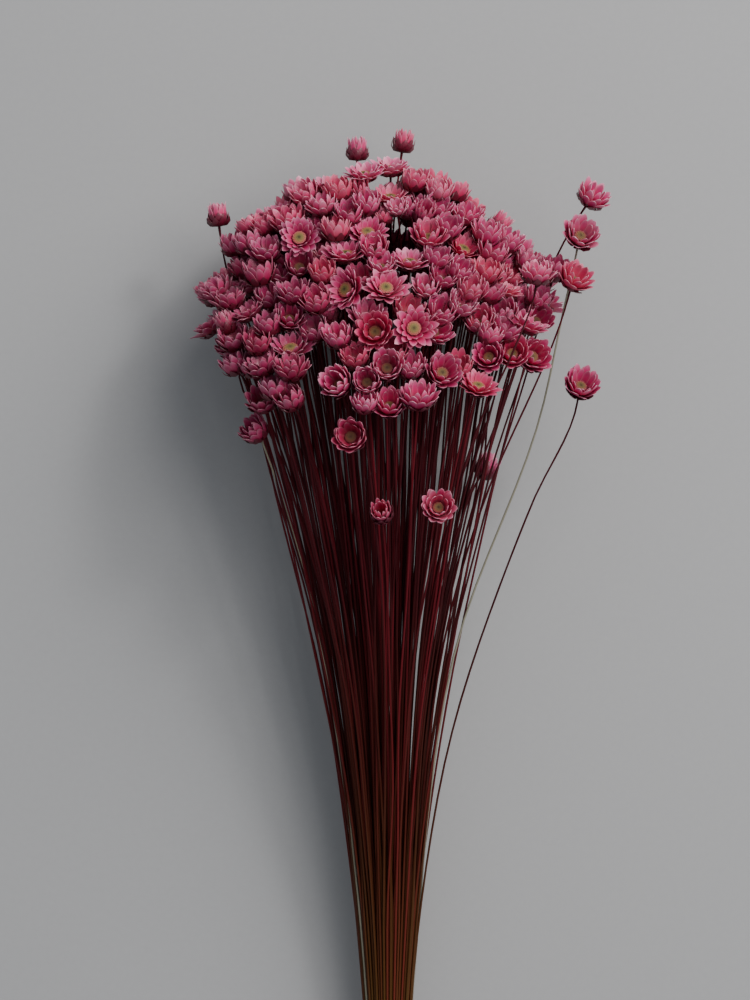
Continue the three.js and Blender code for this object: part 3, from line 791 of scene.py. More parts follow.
# A bract's colours from base to tip, the tints laid over them and how strongly, a usual bract's
# width and length and its veins in millimetres, and its gloss
bractLook = {
    "outside": {
        0.0: "#3a020f", 0.32: "#80052c", 0.56: "#cc2069", 0.77: "#ea559a", 0.92: "#f390bd", 1.0: "#fbcfe3"
    },
    "inside": {
        0.0: "#4c0213", 0.3: "#950631", 0.56: "#d7256a", 0.8: "#ec5796", 0.93: "#f38fba", 1.0: "#fbcae0"
    },
    "nearDisc": {0.3: "#ffffff", 0.75: "#000000"},
    "tints": {
        "peach": "#d98568",
        "edge": "#fccfdf",
        "vein": "#ad1250",
        "faded": "#f9c6d8",
        "deep": "#bd1458",
        "coral": "#ea4a58",
        "shade": "#54061a",
    },
    "edgePower": 4.0,
    "edgeShare": 0.5,
    "width": 3.24,
    "length": 8.32,
    "veinSpacing": 0.225,
    "veinLength": 4.0,
    "veinShift": 59.2,
    "veinFrom": 0.42,
    "veinShare": 0.8,
    "fadedFrom": 0.42,
    "fadedRate": -1.1,
    "deepShare": 0.42,
    "coralShare": 0.4,
    "baseRoughness": 0.56,
    "tipPolish": -0.34,
    "veinRoughness": 0.2,
    "surface": {"Specular IOR Level": 0.5, "Coat Weight": 0.3, "Coat Roughness": 0.25},
    "relief": {"Distance": 0.00012, "Strength": 0.6},
    "glow": "#e8206a",
    "glowTint": 0.5,
    "glowShare": 0.2,
}


def bractFinish():
    # Papery bracts, dyed and dried: dark crimson at the base, with painted shade in the hollow and on the heads low on
    # the left, pink above, with fine veins, a waxy gloss, edges paled partly by painted highlight, and pale thin tips
    # that let some light through
    finish, add = startFinish("dyed_papery_bract")
    look = bractLook
    across, along = ownPlace(add)
    names = ("tone", "warm", "shade", "inside", "peach")
    tone, warm, shade, inside, peach = [add("Attribute", {}, "Fac", attribute_name=name) for name in names]
    outer = add("ValToRGB", {"Fac": along}, stops=look["outside"])
    inner = add("ValToRGB", {"Fac": along}, stops=look["inside"])
    body = add("Mix", {0: inside, 6: outer, 7: inner}, 2, **tinting)

    # Peach near the disc in heads that stand open
    near = add("ValToRGB", {"Fac": along}, stops=look["nearDisc"])
    near = add("Math", {0: near, 1: inside}, operation="MULTIPLY")
    near = add("Math", {0: near, 1: peach}, operation="MULTIPLY")

    # Pale at the edges, most of all at the tip: partly the thin paper's own colour, partly painted highlight
    edge = add("Math", {0: across, 1: 0.5}, operation="SUBTRACT")
    edge = add("Math", {0: edge}, operation="ABSOLUTE")
    edge = add("Math", {0: edge, 1: 2.0}, operation="MULTIPLY")
    edge = add("Math", {0: edge, 1: look["edgePower"]}, operation="POWER")
    most = add("Math", {0: along, 1: look["edgeShare"]}, operation="MULTIPLY")
    edge = add("Math", {0: edge, 1: most}, operation="MULTIPLY")

    scales = (look["width"] / look["veinSpacing"], look["length"] / look["veinLength"], look["veinShift"])
    vein = streaks(add, (across, along, tone), scales, 3.0)
    veined = add("Math", {0: vein, 1: look["veinFrom"]}, operation="SUBTRACT")
    veined = add("Math", {0: veined, 1: look["veinShare"]}, operation="MULTIPLY")

    # Some flowers faded, others took more dye or turned to coral; painted shade deepens the heads low on the left
    faded = add("Math", {0: tone, 1: look["fadedRate"], 2: look["fadedFrom"]}, operation="MULTIPLY_ADD")
    faded = add("Math", {0: faded, 1: 0.0}, operation="MAXIMUM")
    faded = add("Math", {0: faded, 1: along}, operation="MULTIPLY")
    deep = add("Math", {0: tone, 1: look["deepShare"]}, operation="MULTIPLY")
    coral = add("Math", {0: warm, 1: look["coralShare"]}, operation="MULTIPLY")
    shares = {"peach": near, "edge": edge, "vein": veined, "faded": faded, "deep": deep, "coral": coral}
    # Then the rows' darkness: the calyx's own colour, and painted shade in the hollows and on the heads low on the
    # left
    body = tinted(add, body, look["tints"], **shares, shade=shade)

    # Waxy towards the tips, dull below
    polish = {0: along, 1: look["tipPolish"], 2: look["baseRoughness"]}
    polish = add("Math", polish, operation="MULTIPLY_ADD")
    rough = add("Math", {0: vein, 1: look["veinRoughness"], 2: polish}, operation="MULTIPLY_ADD")
    relief = add("Bump", {**look["relief"], "Height": vein})
    surface = {**look["surface"], "Base Color": body, "Roughness": rough, "Normal": relief}
    surface = add("Principled BSDF", surface)
    glow = add("Mix", {0: look["glowTint"], 6: body, 7: colour(look["glow"])}, 2, **tinting)
    glow = add("BsdfTranslucent", {"Color": glow})
    add("Material Output", {"Surface": add("MixShader", {0: look["glowShare"], 1: surface, 2: glow})})
    return finish


# A closed flat shell: across -1 to 1, along by the given levels, side 0 or 1
def shellTemplate(columns, levels):
    grid = bmesh.new()
    bmesh.ops.create_grid(grid, x_segments=columns, y_segments=len(levels) - 1, size=1.0)
    bmesh.ops.solidify(grid, geom=grid.faces[:], thickness=1.0)
    bmesh.ops.recalc_face_normals(grid, faces=grid.faces[:])
    grid.verts.ensure_lookup_table()
    points = np.array([list(vertex.co) for vertex in grid.verts])
    quads = np.array([[vertex.index for vertex in face.verts] for face in grid.faces])
    grid.free()
    step = np.rint((points[:, 1] + 1) / 2 * (len(levels) - 1)).astype(int)
    template = {"across": points[:, 0], "along": np.array(levels)[step], "quads": quads}
    template["side"] = (points[:, 2] - points[:, 2].min()) / np.ptp(points[:, 2])
    return template


# Points of many bracts: each follows a curve from the neck over the belly to its tip
def bendBracts(template, rows, frames, necks):
    t = template["along"][None, :]
    c = template["across"][None, :]
    side = template["side"][None, :]

    def column(key):
        return rows[key][:, None]

    controls = [(bract["baseRadius"], column("lift"))]
    controls += [(column(f"radius{k}"), column(f"height{k}")) for k in (1, 2, 3)]
    weights = [(1 - t) ** 3, 3 * t * (1 - t) ** 2, 3 * t**2 * (1 - t), t**3]
    radius = sum(weight * control[0] for weight, control in zip(weights, controls))
    height = sum(weight * control[1] for weight, control in zip(weights, controls))
    slopes = [3 * (1 - t) ** 2, 6 * t * (1 - t), 3 * t**2]
    outward = sum(w * (controls[k + 1][0] - controls[k][0]) for k, w in enumerate(slopes))
    upward = sum(w * (controls[k + 1][1] - controls[k][1]) for k, w in enumerate(slopes))
    length = np.hypot(outward, upward)
    normalOut, normalUp = upward / length, -outward / length

    shares = np.interp(template["along"], bract["widthLevels"], bract["widthShares"])
    width = column("halfWidth") * shares[None, :]
    bend = np.maximum(radius * bract["curl"], bract["leastBend"] * width)
    angle = c * width / bend
    drop = bend * (1 - np.cos(angle))
    along = bend * np.sin(angle)
    off = (side - 0.5) * bract["thickness"] - drop
    out = radius + normalOut * off
    up = height + normalUp * off + c * width * column("twist") * t
    cosine, sine = np.cos(column("azimuth")), np.sin(column("azimuth"))
    x = (out * cosine - along * sine)[..., None]
    y = (out * sine + along * cosine)[..., None]
    ways = frames[rows["head"]][:, None]
    place = necks[rows["head"]][:, None] + x * ways[:, :, 0] + y * ways[:, :, 1]
    return place + up[..., None] * ways[:, :, 2]


# Rows of bracts from the outside in, per kind of head: part, count, three points that the bract's
# curve follows after the neck (radius and height in millimetres), half width, turn in half steps,
# darkness: the calyx's own dark crimson, and painted shade in the hollow rows. The hollow rows take the heart's place
# in heads that stand open to the disc.
bractRows = {
    "bud": [
        ("calyx", 9, (3.0, -0.6, 4.5, 1.0, 4.0, 3.3), 1.4, 0, 0.92),
        ("calyx", 9, (3.0, -0.3, 4.3, 2.2, 3.5, 4.7), 1.35, 1, 0.85),
        ("calyx", 8, (2.9, 0.0, 3.9, 3.4, 2.8, 6.0), 1.3, 0, 0.6),
        ("petal", 10, (2.8, 0.2, 3.2, 4.4, 3.3, 7.6), 1.0, 0, 0.0),
        ("petal", 9, (2.5, 0.4, 2.6, 4.8, 1.9, 8.1), 0.9, 1, 0.0),
    ],
    "cup": [
        ("calyx", 9, (4.3, -0.9, 4.9, 1.2, 5.1, 3.2), 1.4, 1, 0.9),
        ("petal", 10, (4.6, -0.5, 4.6, 3.6, 5.3, 5.8), 1.6, 0, 0.1),
        ("petal", 9, (4.2, -0.1, 4.4, 4.7, 4.6, 7.3), 1.6, 1, 0.0),
        ("heart", 7, (3.4, 0.4, 3.6, 4.9, 2.6, 7.3), 1.35, 0, 0.0),
        ("hollow", 8, (3.5, 0.4, 3.7, 3.9, 3.5, 6.0), 1.35, 0, 0.35),
    ],
    "wide": [
        ("calyx", 9, (4.3, -0.9, 5.0, 0.9, 5.4, 2.6), 1.4, 1, 0.9),
        ("petal", 11, (4.4, -0.5, 4.9, 3.2, 6.3, 4.7), 1.6, 0, 0.1),
        ("petal", 10, (4.1, -0.1, 4.5, 4.3, 5.3, 6.4), 1.55, 1, 0.0),
        ("heart", 8, (3.4, 0.4, 3.7, 4.7, 3.1, 7.0), 1.3, 0, 0.0),
        ("hollow", 9, (3.4, 0.4, 3.7, 4.2, 4.0, 6.3), 1.3, 0, 0.15),
    ],
    "open": [
        ("calyx", 9, (3.9, -0.6, 4.6, 0.6, 5.2, 1.8), 1.4, 1, 0.9),
        ("petal", 12, (3.6, -0.2, 5.2, 2.6, 7.7, 3.4), 1.6, 0, 0.05),
        ("petal", 11, (3.4, 0.1, 4.6, 3.6, 6.6, 5.0), 1.5, 1, 0.0),
        ("hollow", 11, (3.2, 0.4, 3.6, 3.4, 4.6, 5.3), 1.1, 0, 0.0),
    ],
}

# How much larger than their CAD crowns the heads are, how much their bracts vary, how much of a
# bract's tone is its flower's, how few flowers are warm, and how peach open heads are near the disc
headLooks = {
    "seed": 7,
    "scale": 1.17,
    "stretch": 0.18,
    "flare": 0.27,
    "drift": 0.36,
    "twist": 0.65,
    "lift": 0.1,
    "flowerTone": 0.6,
    "warmPower": 3,
    "peach": 0.6,
}

# The share of each kind that stands open to the disc
hollowShare = {"bud": 0.0, "cup": 0.4, "wide": 0.3, "open": 1.0}

# Painted shade on the heads low on the left, darker and deeper in tone: where it begins, over how many millimetres,
# how much
paintedShadeLeft = {"across": -18, "acrossReach": 14, "along": 366, "alongReach": 26, "shade": 0.36, "tone": 0.3}


# The rows of bracts of one part (calyx, petal or heart) on some heads, as arrays
def bractTable(members, part):
    def vary(key):
        return headLooks[key] * (looks.random() - 0.5)

    table = []
    for head, index in enumerate(members):
        kind = flowers.rows[index]["kind"]
        size = flowers.size[index] * headLooks["scale"]
        skipped = "heart" if flowers.hollow[index] else "hollow"
        ownTone = headLooks["flowerTone"] * flowers.tone[index]
        for layer, (name, count, curve, halfWidth, half, dark) in enumerate(bractRows[kind]):
            if name == skipped or (name if name != "hollow" else "heart") != part:
                continue
            for k in range(count):
                stretch, flare = 1 + vary("stretch"), 1 + vary("flare")
                around = 2 * math.pi * (k + 0.5 * half + vary("drift")) / count
                row = {
                    "head": head,
                    "azimuth": around - flowers.spin[index],
                    "halfWidth": halfWidth * size * (1 + vary("stretch")),
                    "lift": headLooks["lift"] * layer,
                    "twist": vary("twist"),
                    "tone": ownTone + (1 - headLooks["flowerTone"]) * looks.random(),
                    "warm": flowers.warm[index],
                    # The row's darkness, with painted shade on the heads low on the left
                    "shade": dark + (1 - dark) * paintedShadeLeft["shade"] * flowers.dyed[index],
                    "peach": headLooks["peach"] if kind == "open" else 0.0,
                }
                for point in range(3):
                    bend = flare if point == 2 else 1
                    row[f"radius{point + 1}"] = curve[2 * point] * size * bend
                    row[f"height{point + 1}"] = curve[2 * point + 1] * size * stretch
                table.append(row)
    keys = table[0].keys() if table else ()
    return {key: np.array([row[key] for row in table]) for key in keys}


# A few faces to a bract, fewer where less of it shows
templates = {
    "petal": shellTemplate(4, (0.0, 0.3, 0.56, 0.78, 0.92, 1.0)),
    "heart": shellTemplate(2, (0.0, 0.4, 0.72, 0.9, 1.0)),
    "calyx": shellTemplate(2, (0.0, 0.4, 0.75, 1.0)),
}


# One part: the template's faces repeated for every row of points
def repeated(template, points, rows):
    count, each = points.shape[:2]
    quads = template["quads"][None] + (np.arange(count) * each)[:, None, None]
    uv = np.stack([0.5 + 0.5 * template["across"], template["along"]], axis=1)
    floats = {key: np.repeat(rows[key], each) for key in ("tone", "warm", "shade", "peach")}
    floats["inside"] = np.tile(template["side"], count)
    return {
        "points": points.reshape(-1, 3),
        "quads": quads.reshape(-1, 4),
        "corners": np.zeros((0, 3), int),
        "uvs": np.tile(uv, (count, 1)),
        "floats": floats,
    }


def makeBracts(name, members):
    frames = headFrames(members)
    necks = flowers.neck[members]
    parts = []
    for part, template in templates.items():
        rows = bractTable(members, part)
        parts.append(repeated(template, bendBracts(template, rows, frames, necks), rows))
    return placedPiece(name, parts, bractMaterial, "bracts")


# The disc in the heart of each head, and its florets where it shows, in a spiral as they grow.
# Shapes: radius, height and rise of the disc in millimetres, and how dark it is, painted shade where it sits deep in a
# cup or wide head.
disc = {
    "shapes": {"cup": (1.9, 1.8, 0.5, 0.7), "wide": (2.0, 2.2, 0.6, 0.45), "open": (2.5, 2.6, 0.6, 0.0)},
    "sides": 10,
    "florets": 46,
    "floretSides": 5,
    "spiralTurn": math.radians(137.508),
    "firstFloret": 0.6,
    "spread": 0.93,
    "crest": 0.86,
    "crestFall": 0.6,
    "crestPower": 2.4,
    "floretRadius": 0.16,
    "rimGrowth": 0.1,
    "floretStretch": 1.25,
}
discLook = {
    "fromMiddle": {
        0.0: "#221606", 0.14: "#443e20", 0.34: "#6e6639", 0.6: "#8e7245", 0.8: "#ac6855", 1.0: "#bf5c6c"
    },
    "tints": {"dry": "#8a7048", "shade": "#3f0d10"},
    "dryShare": 0.35,
    "grain": 1 / 9,  # millimetres from speck to speck
    "roughness": 0.8,
    "relief": {"Distance": 0.0001, "Strength": 0.7},
}


def discFinish():
    # Dried florets: dull yellow-green, redder at the rim, dark in the closed middle, and grainy, with painted shade
    # where the disc sits deep in a cup
    finish, add = startFinish("dried_florets")
    look = discLook
    _, reach = ownPlace(add)
    tone, shade = [add("Attribute", {}, "Fac", attribute_name=name) for name in ("tone", "shade")]
    body = add("ValToRGB", {"Fac": reach}, stops=look["fromMiddle"])
    dry = add("Math", {0: tone, 1: look["dryShare"]}, operation="MULTIPLY")
    # Painted shade on discs deep in cup and wide heads
    body = tinted(add, body, look["tints"], dry=dry, shade=shade)
    place = add("TexCoord", {}, "Object")
    grain = add("TexNoise", {"Vector": place, "Scale": 1000 / look["grain"], "Detail": 2.0})
    relief = add("Bump", {**look["relief"], "Height": grain})
    add("Principled BSDF", {"Base Color": body, "Roughness": look["roughness"], "Normal": relief})
    return finish


# A closed body turned from a profile of radius and height, as points and faces
def turned(sides, profile):
    body = bmesh.new()
    line = [body.verts.new((radius, 0, height)) for radius, height in profile]
    edges = [body.edges.new(pair) for pair in zip(line, line[1:])]
    around = {"cent": (0, 0, 0), "axis": (0, 0, 1), "angle": 2 * math.pi}
    bmesh.ops.spin(body, geom=line + edges, steps=sides, use_merge=True, **around)
    bmesh.ops.remove_doubles(body, verts=body.verts[:], dist=1e-5)
    bmesh.ops.recalc_face_normals(body, faces=body.faces[:])
    body.verts.index_update()
    points = np.array([list(vertex.co) for vertex in body.verts])
    quads = np.array([[v.index for v in face.verts] for face in body.faces if len(face.verts) == 4])
    corners = np.array([[v.index for v in face.verts] for face in body.faces if len(face.verts) == 3])
    body.free()
    return {"points": points, "quads": quads, "corners": corners}


discProfile = [(0, -0.5), (0.7, -0.4), (1.0, 0.0), (0.85, 0.45), (0.5, 0.8), (0.2, 0.86), (0, 0.78)]
discTemplate = turned(disc["sides"], discProfile)
floretTemplate = turned(disc["floretSides"], [(0, -0.6), (1.0, -0.4), (0.85, 0.5), (0, 0.8)])


def makeDiscs(name, members):
    frames = headFrames(members)
    parts = []

    def put(template, local, reach, tone, head, shade):
        uvs = np.stack([np.zeros(len(local)), np.broadcast_to(reach, len(local))], axis=1)
        points = flowers.neck[members[head]] + local @ frames[head]
        parts.append({**template, "points": points, "uvs": uvs, "floats": {"tone": tone, "shade": shade}})

    for head, index in enumerate(members):
        kind = flowers.rows[index]["kind"]
        if kind == "bud":
            continue
        size = flowers.size[index] * headLooks["scale"]
        radius, height, rise = (value * size for value in disc["shapes"][kind][:3])
        shade = disc["shapes"][kind][3]
        base = discTemplate["points"]
        local = base * [radius, radius, rise] + [0, 0, height]
        put(discTemplate, local, np.hypot(base[:, 0], base[:, 1]), looks.random(), head, shade)
        if kind == "cup" or not flowers.hollow[index]:
            continue
        for n in range(disc["florets"]):
            reach = math.sqrt((n + disc["firstFloret"]) / disc["florets"])
            angle = n * disc["spiralTurn"]
            crest = rise * (disc["crest"] - disc["crestFall"] * reach ** disc["crestPower"])
            out = radius * disc["spread"] * reach
            place = [out * math.cos(angle), out * math.sin(angle), height + crest]
            thick = (disc["floretRadius"] + disc["rimGrowth"] * reach) * size
            local = floretTemplate["points"] * [thick, thick, thick * disc["floretStretch"]] + place
            put(floretTemplate, local, reach, looks.random(), head, shade)
    return placedPiece(name, parts, discMaterial, "discs")


# A stem: a thin tube from its cut end through the tie into its head, wider there. It bows and
# waves a little between the tie and the head, as dried stems do.
stem = {
    "rings": 30,
    "sides": 6,
    "lowRadius": 0.43,
    "topRadius": 0.34,
    "thinnest": 0.94,
    "unevenness": 0.12,
    "swelling": (1.05, 1.35, 1.6),
    "straightNeck": 2.5,
    "sunk": 0.9,
    "wave": 0.6,
    "leastBeats": 1.5,
    "moreBeats": 2,
    "bow": 5.5,
    "bowPower": 3,
    "calmEnds": 1.5,
}
stemLook = {
    "fromCut": {0.0: "#5d4f20", 0.22: "#533616", 0.42: "#431a10", 0.6: "#3a0910", 1.0: "#4c0a1c"},
    "tints": {"warm": "#8a1a2c", "pale": "#8f8d7c", "grain": "#260608"},
    "warmPower": 3.0,
    "warmShare": 0.5,
    "grainShare": 0.5,
    "halfRound": 1.26,  # millimetres round half a stem
    "ridgeSpacing": 0.12,
    "ridgeLength": 4.25,
    "ridgeShift": 76.5,
    "surface": {"Roughness": 0.55, "Specular IOR Level": 0.12},
    "relief": {"Distance": 0.0001, "Strength": 0.5},
}


def stemFinish():
    # Dyed dry stems: dark burgundy, olive brown towards the cut ends, with fine ridges along them
    finish, add = startFinish("dried_flower_stem")
    look = stemLook
    around, along = ownPlace(add)
    tone, pale = [add("Attribute", {}, "Fac", attribute_name=name) for name in ("tone", "pale")]
    ridgesRound = look["halfRound"] / look["ridgeSpacing"]
    ridgesAlong = round(dome["top"] / look["ridgeLength"])
    grain = streaks(add, (around, along, tone), (ridgesRound, ridgesAlong, look["ridgeShift"]), 3.0)
    warm = add("Math", {0: tone, 1: look["warmPower"]}, operation="POWER")
    warm = add("Math", {0: warm, 1: look["warmShare"]}, operation="MULTIPLY")
    dark = add("Math", {0: grain, 1: look["grainShare"]}, operation="MULTIPLY")
    body = add("ValToRGB", {"Fac": along}, stops=look["fromCut"])
    body = tinted(add, body, look["tints"], warm=warm, pale=pale, grain=dark)
    relief = add("Bump", {**look["relief"], "Height": grain})
    add("Principled BSDF", {**look["surface"], "Base Color": body, "Normal": relief})
    return finish


crowding = 1.5


# Points strewn on a smooth curve through the given ones, closer together towards its end
def smoothPath(points, count):
    points = np.array(points, float)
    step = np.linalg.norm(np.diff(points, axis=0), axis=1)
    reach = np.concatenate([[0], np.cumsum(step)])
    slope = np.diff(points, axis=0) / step[:, None]
    tangent = np.empty_like(points)
    tangent[0], tangent[-1] = slope[0], slope[-1]
    weight = step[:-1] / (step[:-1] + step[1:])
    tangent[1:-1] = slope[:-1] * (1 - weight)[:, None] + slope[1:] * weight[:, None]
    place = reach[-1] * (1 - (1 - np.linspace(0, 1, count)) ** crowding)
    index = np.clip(np.searchsorted(reach, place, side="right") - 1, 0, len(step) - 1)
    t = ((place - reach[index]) / step[index])[:, None]
    length = step[index][:, None]
    return (
        (2 * t**3 - 3 * t**2 + 1) * points[index]
        + (t**3 - 2 * t**2 + t) * length * tangent[index]
        + (3 * t**2 - 2 * t**3) * points[index + 1]
        + (t**3 - t**2) * length * tangent[index + 1]
    )


rods = {}
firstSide = [0.0, 0.31, 0.95]


# A part: a straight turned rod, bent along a path, with a value of along for each of its points
def tube(path, radii, sides, along, **floats):
    count = len(path)
    if (count, sides) not in rods:
        rods[count, sides] = turned(sides, [(0, 0)] + [(1, k) for k in range(count)] + [(0, count - 1)])
    rod = rods[count, sides]
    tangent = unit(np.gradient(path, axis=0))
    across = np.empty_like(path)
    previous = unit(np.cross(tangent[0], firstSide))
    for k in range(count):
        previous = unit(previous - tangent[k] * (previous @ tangent[k]))
        across[k] = previous
    other = np.cross(tangent, across)
    x, y = rod["points"][:, 0:1], rod["points"][:, 1:2]
    ring = np.rint(rod["points"][:, 2]).astype(int)
    points = path[ring] + radii[ring, None] * (x * across[ring] + y * other[ring])
    around = np.abs(np.arctan2(y[:, 0], x[:, 0])) / math.pi
    return {**rod, "points": points, "uvs": np.stack([around, along[ring]], axis=1), "floats": floats}


def stemPath(index):
    row = flowers.rows[index]
    cutAt = flowers.cutAt[index]
    tie = stems["tieAlong"]
    shrink = stems["tieReach"] / stems["rootReach"]
    flare = shrink * (1 + stems["cutFlare"] * (1 - cutAt / tie))
    rooted = flowers.rooted[index]
    path = [
        (rooted[0] * flare, cutAt, rooted[1] * flare),
        (rooted[0] * shrink, tie, rooted[1] * shrink),
        (rooted[0], stems["trunkTop"], rooted[1]),
        (flowers.bend[index][0], stems["bendLevel"], flowers.bend[index][1]),
    ]
    if not row["bends"] and flowers.end[index][1] > stems["curveEnd"]:
        path.append((flowers.curve[index][0], stems["curveLevel"], flowers.curve[index][1]))
    path += [tuple(bend) for bend in row["bends"]]
    faces = flowers.faces[index]
    neck = flowers.neck[index]
    path.append(tuple(flowers.end[index] if flowers.nods[index] else neck - faces * stem["straightNeck"]))
    path.append(tuple(neck + faces * stem["sunk"]))
    line = smoothPath(path, stem["rings"])
    share = np.clip((line[:, 1] - stems["trunkTop"]) / (neck[1] - stems["trunkTop"]), 0, 1)
    window = np.sin(math.pi * share) ** stem["calmEnds"]
    for axis in (0, 2):
        phase = 2 * math.pi * looks.random()
        beats = stem["leastBeats"] + stem["moreBeats"] * looks.random()
        bow = stem["bow"] * (2 * looks.random() - 1) ** stem["bowPower"]
        line[:, axis] += window * (bow + stem["wave"] * np.sin(phase + beats * math.pi * share))
    return line


def makeStems(name, members):
    parts = []
    for index in members:
        line = stemPath(index)
        radii = np.linspace(stem["lowRadius"], stem["topRadius"], len(line))
        radii = radii * (stem["thinnest"] + stem["unevenness"] * looks.random(len(line)))
        radii[-3:] *= stem["swelling"]
        along = (line[:, 1] / dome["top"]).clip(0, 1)
        pale = flowers.rows[index].get("pale", 0.0)
        parts.append(tube(line, radii, stem["sides"], along, tone=looks.random(), pale=pale))
    return placedPiece(name, parts, stemMaterial, "stems")


# The tie: two-ply twine wound round the stems, with a knot towards the viewer and two short tails.
# The knot's and the tails' points are given across, along and outward from the knot's place.
twine = {
    "strand": 0.52,
    "plyReach": 0.46,
    "twist": 3.4,
    "turns": 3,
    "inner": 8.25,
    "pitch": 1.95,
    "sides": 6,
    "coilPoints": 420,
    "finePoints": 400,
    "spacing": 0.45,
    "fewestPoints": 8,
    "knotStand": 0.4,
    "endTaper": 0.6,
    "toneStep": 3.0,
    "knot": [
        (-5.5, -0.6, -1.2),
        (-1.8, 1.5, 1.3),
        (1.7, 1.4, 2.0),
        (2.4, -1.2, 1.6),
        (0.2, -2.2, 1.2),
        (-2.4, -1.0, 1.8),
        (-1.6, 1.6, 2.6),
        (1.4, 0.6, 2.9),
        (5.5, -0.8, -1.2),
    ],
    "tails": [
        [(0, 0, 1.6), (-3.4, -2.0, 2.0), (-7.0, -6.5, 0.8), (-9.0, -11.0, -1.2)],
        [(0, 0, 1.6), (3.4, -2.0, 2.0), (7.0, -6.5, 0.8), (8.6, -10.0, -1.0)],
    ],
}
twineLook = {
    "fibres": {0.25: "#6e5433", 0.5: "#a98a5c", 0.75: "#cfb685"},
    "fibreWidth": 0.051,  # millimetres
    "fibreLength": 0.57,
    "fibreShift": 2.0,
    "surface": {"Roughness": 0.85, "Sheen Weight": 0.25},
    "relief": {"Distance": 0.0002, "Strength": 0.8},
}


def twineFinish():
    # Jute twine: tan fibres laid along two twisted strands, matt and a little fuzzy
    finish, add = startFinish("jute_twine")
    look = twineLook
    around, along = ownPlace(add)
    tone = add("Attribute", {}, "Fac", attribute_name="tone")
    fibresRound = round(math.pi * twine["strand"] / look["fibreWidth"])
    fibresAlong = round(twine["twist"] / look["fibreLength"])
    fibre = streaks(add, (around, along, tone), (fibresRound, fibresAlong, look["fibreShift"]), 4.0)
    body = add("ValToRGB", {"Fac": fibre}, stops=look["fibres"])
    relief = add("Bump", {**look["relief"], "Height": fibre})
    add("Principled BSDF", {**look["surface"], "Base Color": body, "Normal": relief})
    return finish


# Two strands twisted about a path of closely set points
def plies(path, tone):
    step = np.linalg.norm(np.diff(path, axis=0), axis=1)
    reach = np.concatenate([[0], np.cumsum(step)])
    tangent = unit(np.gradient(path, axis=0))
    across = unit(np.cross(tangent, [0.05, 1.0, 0.1]))
    other = np.cross(tangent, across)
    angle = 2 * math.pi * reach / twine["twist"]
    parts = []
    for half in (0, math.pi):
        turn = (angle + half)[:, None]
        strand = path + twine["plyReach"] * (np.cos(turn) * across + np.sin(turn) * other)
        radii = np.full(len(path), twine["strand"])
        radii[[0, -1]] *= twine["endTaper"]
        parts.append(tube(strand, radii, twine["sides"], reach / twine["twist"], tone=tone + half))
    return parts


# A smooth curve through the points, sampled at the twine's even spacing
def evenPath(points):
    fine = smoothPath(points, twine["finePoints"])
    reach = np.concatenate([[0], np.cumsum(np.linalg.norm(np.diff(fine, axis=0), axis=1))])
    count = max(int(reach[-1] / twine["spacing"]), twine["fewestPoints"])
    wanted = np.linspace(0, reach[-1], count)
    return np.stack([np.interp(wanted, reach, fine[:, axis]) for axis in range(3)], axis=1)


def makeTwine(name):
    wound = twine["inner"] + twine["strand"] + twine["plyReach"]
    angle = np.linspace(0, 2 * math.pi * twine["turns"], twine["coilPoints"])
    height = stems["tieAlong"] + twine["pitch"] * (angle / (2 * math.pi) - 0.5 * twine["turns"])
    paths = [np.stack([wound * np.sin(angle), height, wound * np.cos(angle)], axis=1)]
    front = np.array([0, stems["tieAlong"], wound + twine["knotStand"]])
    paths += [evenPath(front + line) for line in [twine["knot"]] + twine["tails"]]
    parts = [part for n, path in enumerate(paths) for part in plies(path, twine["toneStep"] * n)]
    return placedPiece(name, parts, twineMaterial, "twine")


# Each flower's own tone and warmth, painted shade on the heads low on the left, and whether it stands open to its disc
looks = np.random.default_rng(headLooks["seed"])
flowers.tone = looks.random(len(flowers.place))
flowers.warm = looks.random(len(flowers.place)) ** headLooks["warmPower"]
# Painted shade: the heads low on the left get darker rows and a deeper tone
leftward = np.clip((paintedShadeLeft["across"] - flowers.neck[:, 0]) / paintedShadeLeft["acrossReach"], 0, 1)
downward = np.clip((paintedShadeLeft["along"] - flowers.neck[:, 1]) / paintedShadeLeft["alongReach"], 0, 1)
flowers.dyed = leftward * downward
flowers.tone = flowers.tone + (1 - flowers.tone) * paintedShadeLeft["tone"] * flowers.dyed
flowers.hollow = np.array([looks.random() < hollowShare[row["kind"]] for row in flowers.rows])

bractMaterial = bractFinish()
discMaterial = discFinish()
stemMaterial = stemFinish()
twineMaterial = twineFinish()

for number, members in enumerate(cells, start=1):
    node = f"spray_{number:02d}"
    stemsPiece = makeStems(f"{node}_stems", members)
    bractsPiece = makeBracts(f"{node}_bracts", members)
    discsPiece = makeDiscs(f"{node}_discs", members)
    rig.replaces(stemsPiece, node)
    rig.replaces(bractsPiece, node)
    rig.replaces(discsPiece, node)
print("sprays made")

twinePiece = makeTwine("twine_wound")
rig.replaces(twinePiece, "twine_tie")
print("twine made")


# The stage, in metres: a plain pale floor, soft light from the upper right, and the photo's camera,
# which looks at a point of the bunch's own frame, in millimetres
stage = {
    "floorHalf": 3.0,
    "paper": ("#a0a1a3", "#a4a5a7"),
    "paperRoughness": 0.9,
    "fleck": 2.5,  # millimetres
    "cameraDistance": 2.0,
    "frameHeight": 0.375,
    "sensor": 24.0,
    "lookAt": (-4.875, 262.5, 0.0),
    "world": 0.48,
    "worldTint": "#dfe4ea",
    "lightsAim": (0.0, 0.12, 0.05),
}
lights = {
    "key": {"place": (0.85, 0.75, 1.2), "width": 1.6, "power": 33.0, "tint": "#fffaf5"},
    "glint": {"place": (0.7, 0.75, 1.0), "width": 0.22, "power": 4.5, "tint": "#fffdfb"},
}


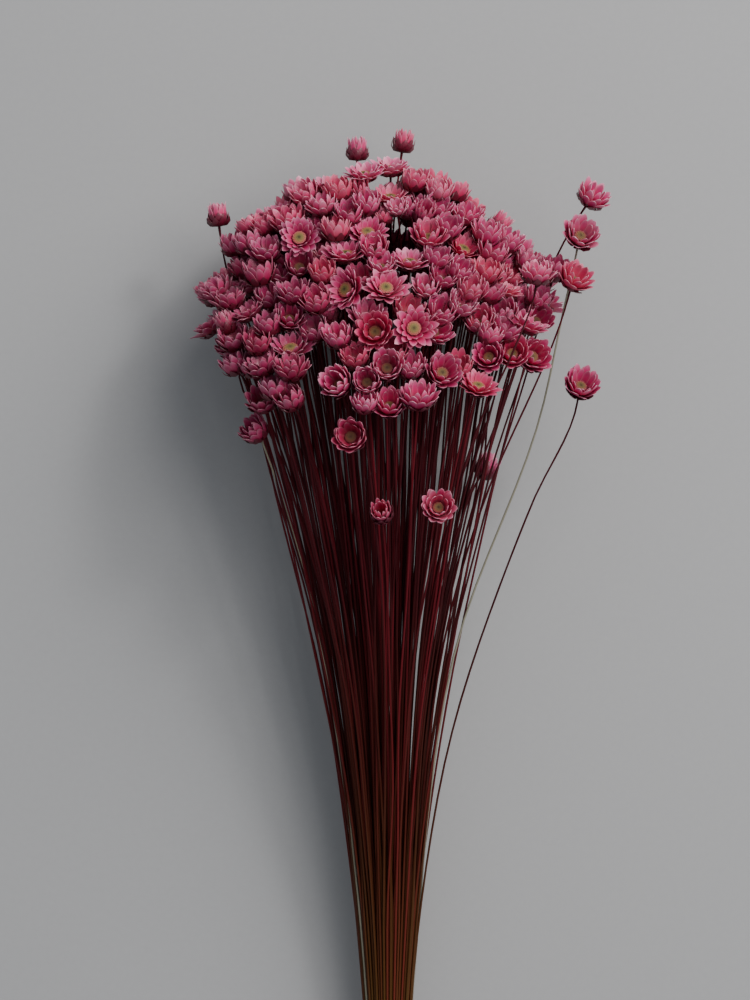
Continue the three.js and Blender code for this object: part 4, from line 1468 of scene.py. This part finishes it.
def floorFinish():
    # Matt studio paper, with a fleck that hardly shows
    finish, add = startFinish("studio_paper")
    place = add("TexCoord", {}, "Object")
    fleck = add("TexNoise", {"Vector": place, "Scale": 1000 / stage["fleck"], "Detail": 2.0})
    low, high = [colour(tint) for tint in stage["paper"]]
    paper = add("Mix", {0: fleck, 6: low, 7: high}, 2, **tinting)
    add("Principled BSDF", {"Base Color": paper, "Roughness": stage["paperRoughness"]})
    return finish


def makeFloor():
    mesh = bpy.data.meshes.new("studio_floor")
    grid = bmesh.new()
    bmesh.ops.create_grid(grid, x_segments=2, y_segments=2, size=stage["floorHalf"])
    grid.to_mesh(mesh)
    grid.free()
    mesh.materials.append(floorFinish())
    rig.stage(newObject("studio_floor", mesh))


def makeLights():
    for name, light in lights.items():
        data = bpy.data.lights.new(name, "AREA")
        data.shape = "SQUARE"
        data.size = light["width"]
        data.energy = light["power"]
        data.color = colour(light["tint"])[:3]
        lamp = newObject(name, data)
        lamp.location = light["place"]
        aim = Vector(stage["lightsAim"]) - Vector(light["place"])
        lamp.rotation_euler = aim.to_track_quat("-Z", "Y").to_euler()


def makeCamera():
    target = Vector(toWorld(np.array(stage["lookAt"])))
    lean = bunch["leanAngle"]
    back = Vector((0, -math.sin(lean), math.cos(lean)))
    up = Vector((0, math.cos(lean), math.sin(lean)))
    data = bpy.data.cameras.new("photo_camera")
    data.sensor_fit = "VERTICAL"
    data.sensor_height = stage["sensor"]
    data.lens = stage["sensor"] * stage["cameraDistance"] / stage["frameHeight"]
    camera = newObject("photo_camera", data)
    turn = Matrix((up.cross(back), up, back)).transposed()
    camera.matrix_world = Matrix.Translation(target + back * stage["cameraDistance"]) @ turn.to_4x4()
    bpy.context.scene.camera = camera


def makeWorld():
    world = bpy.data.worlds.new("studio")
    world.use_nodes = True
    background = world.node_tree.nodes["Background"]
    background.inputs["Color"].default_value = colour(stage["worldTint"])
    background.inputs["Strength"].default_value = stage["world"]
    bpy.context.scene.world = world


makeFloor()
makeWorld()
makeCamera()
makeLights()
print("stage made")

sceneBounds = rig.bounds()
with open("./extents.json", "w") as file:
    json.dump({"cad": [list(p) for p in packedBounds], "visual": [list(p) for p in sceneBounds]}, file)
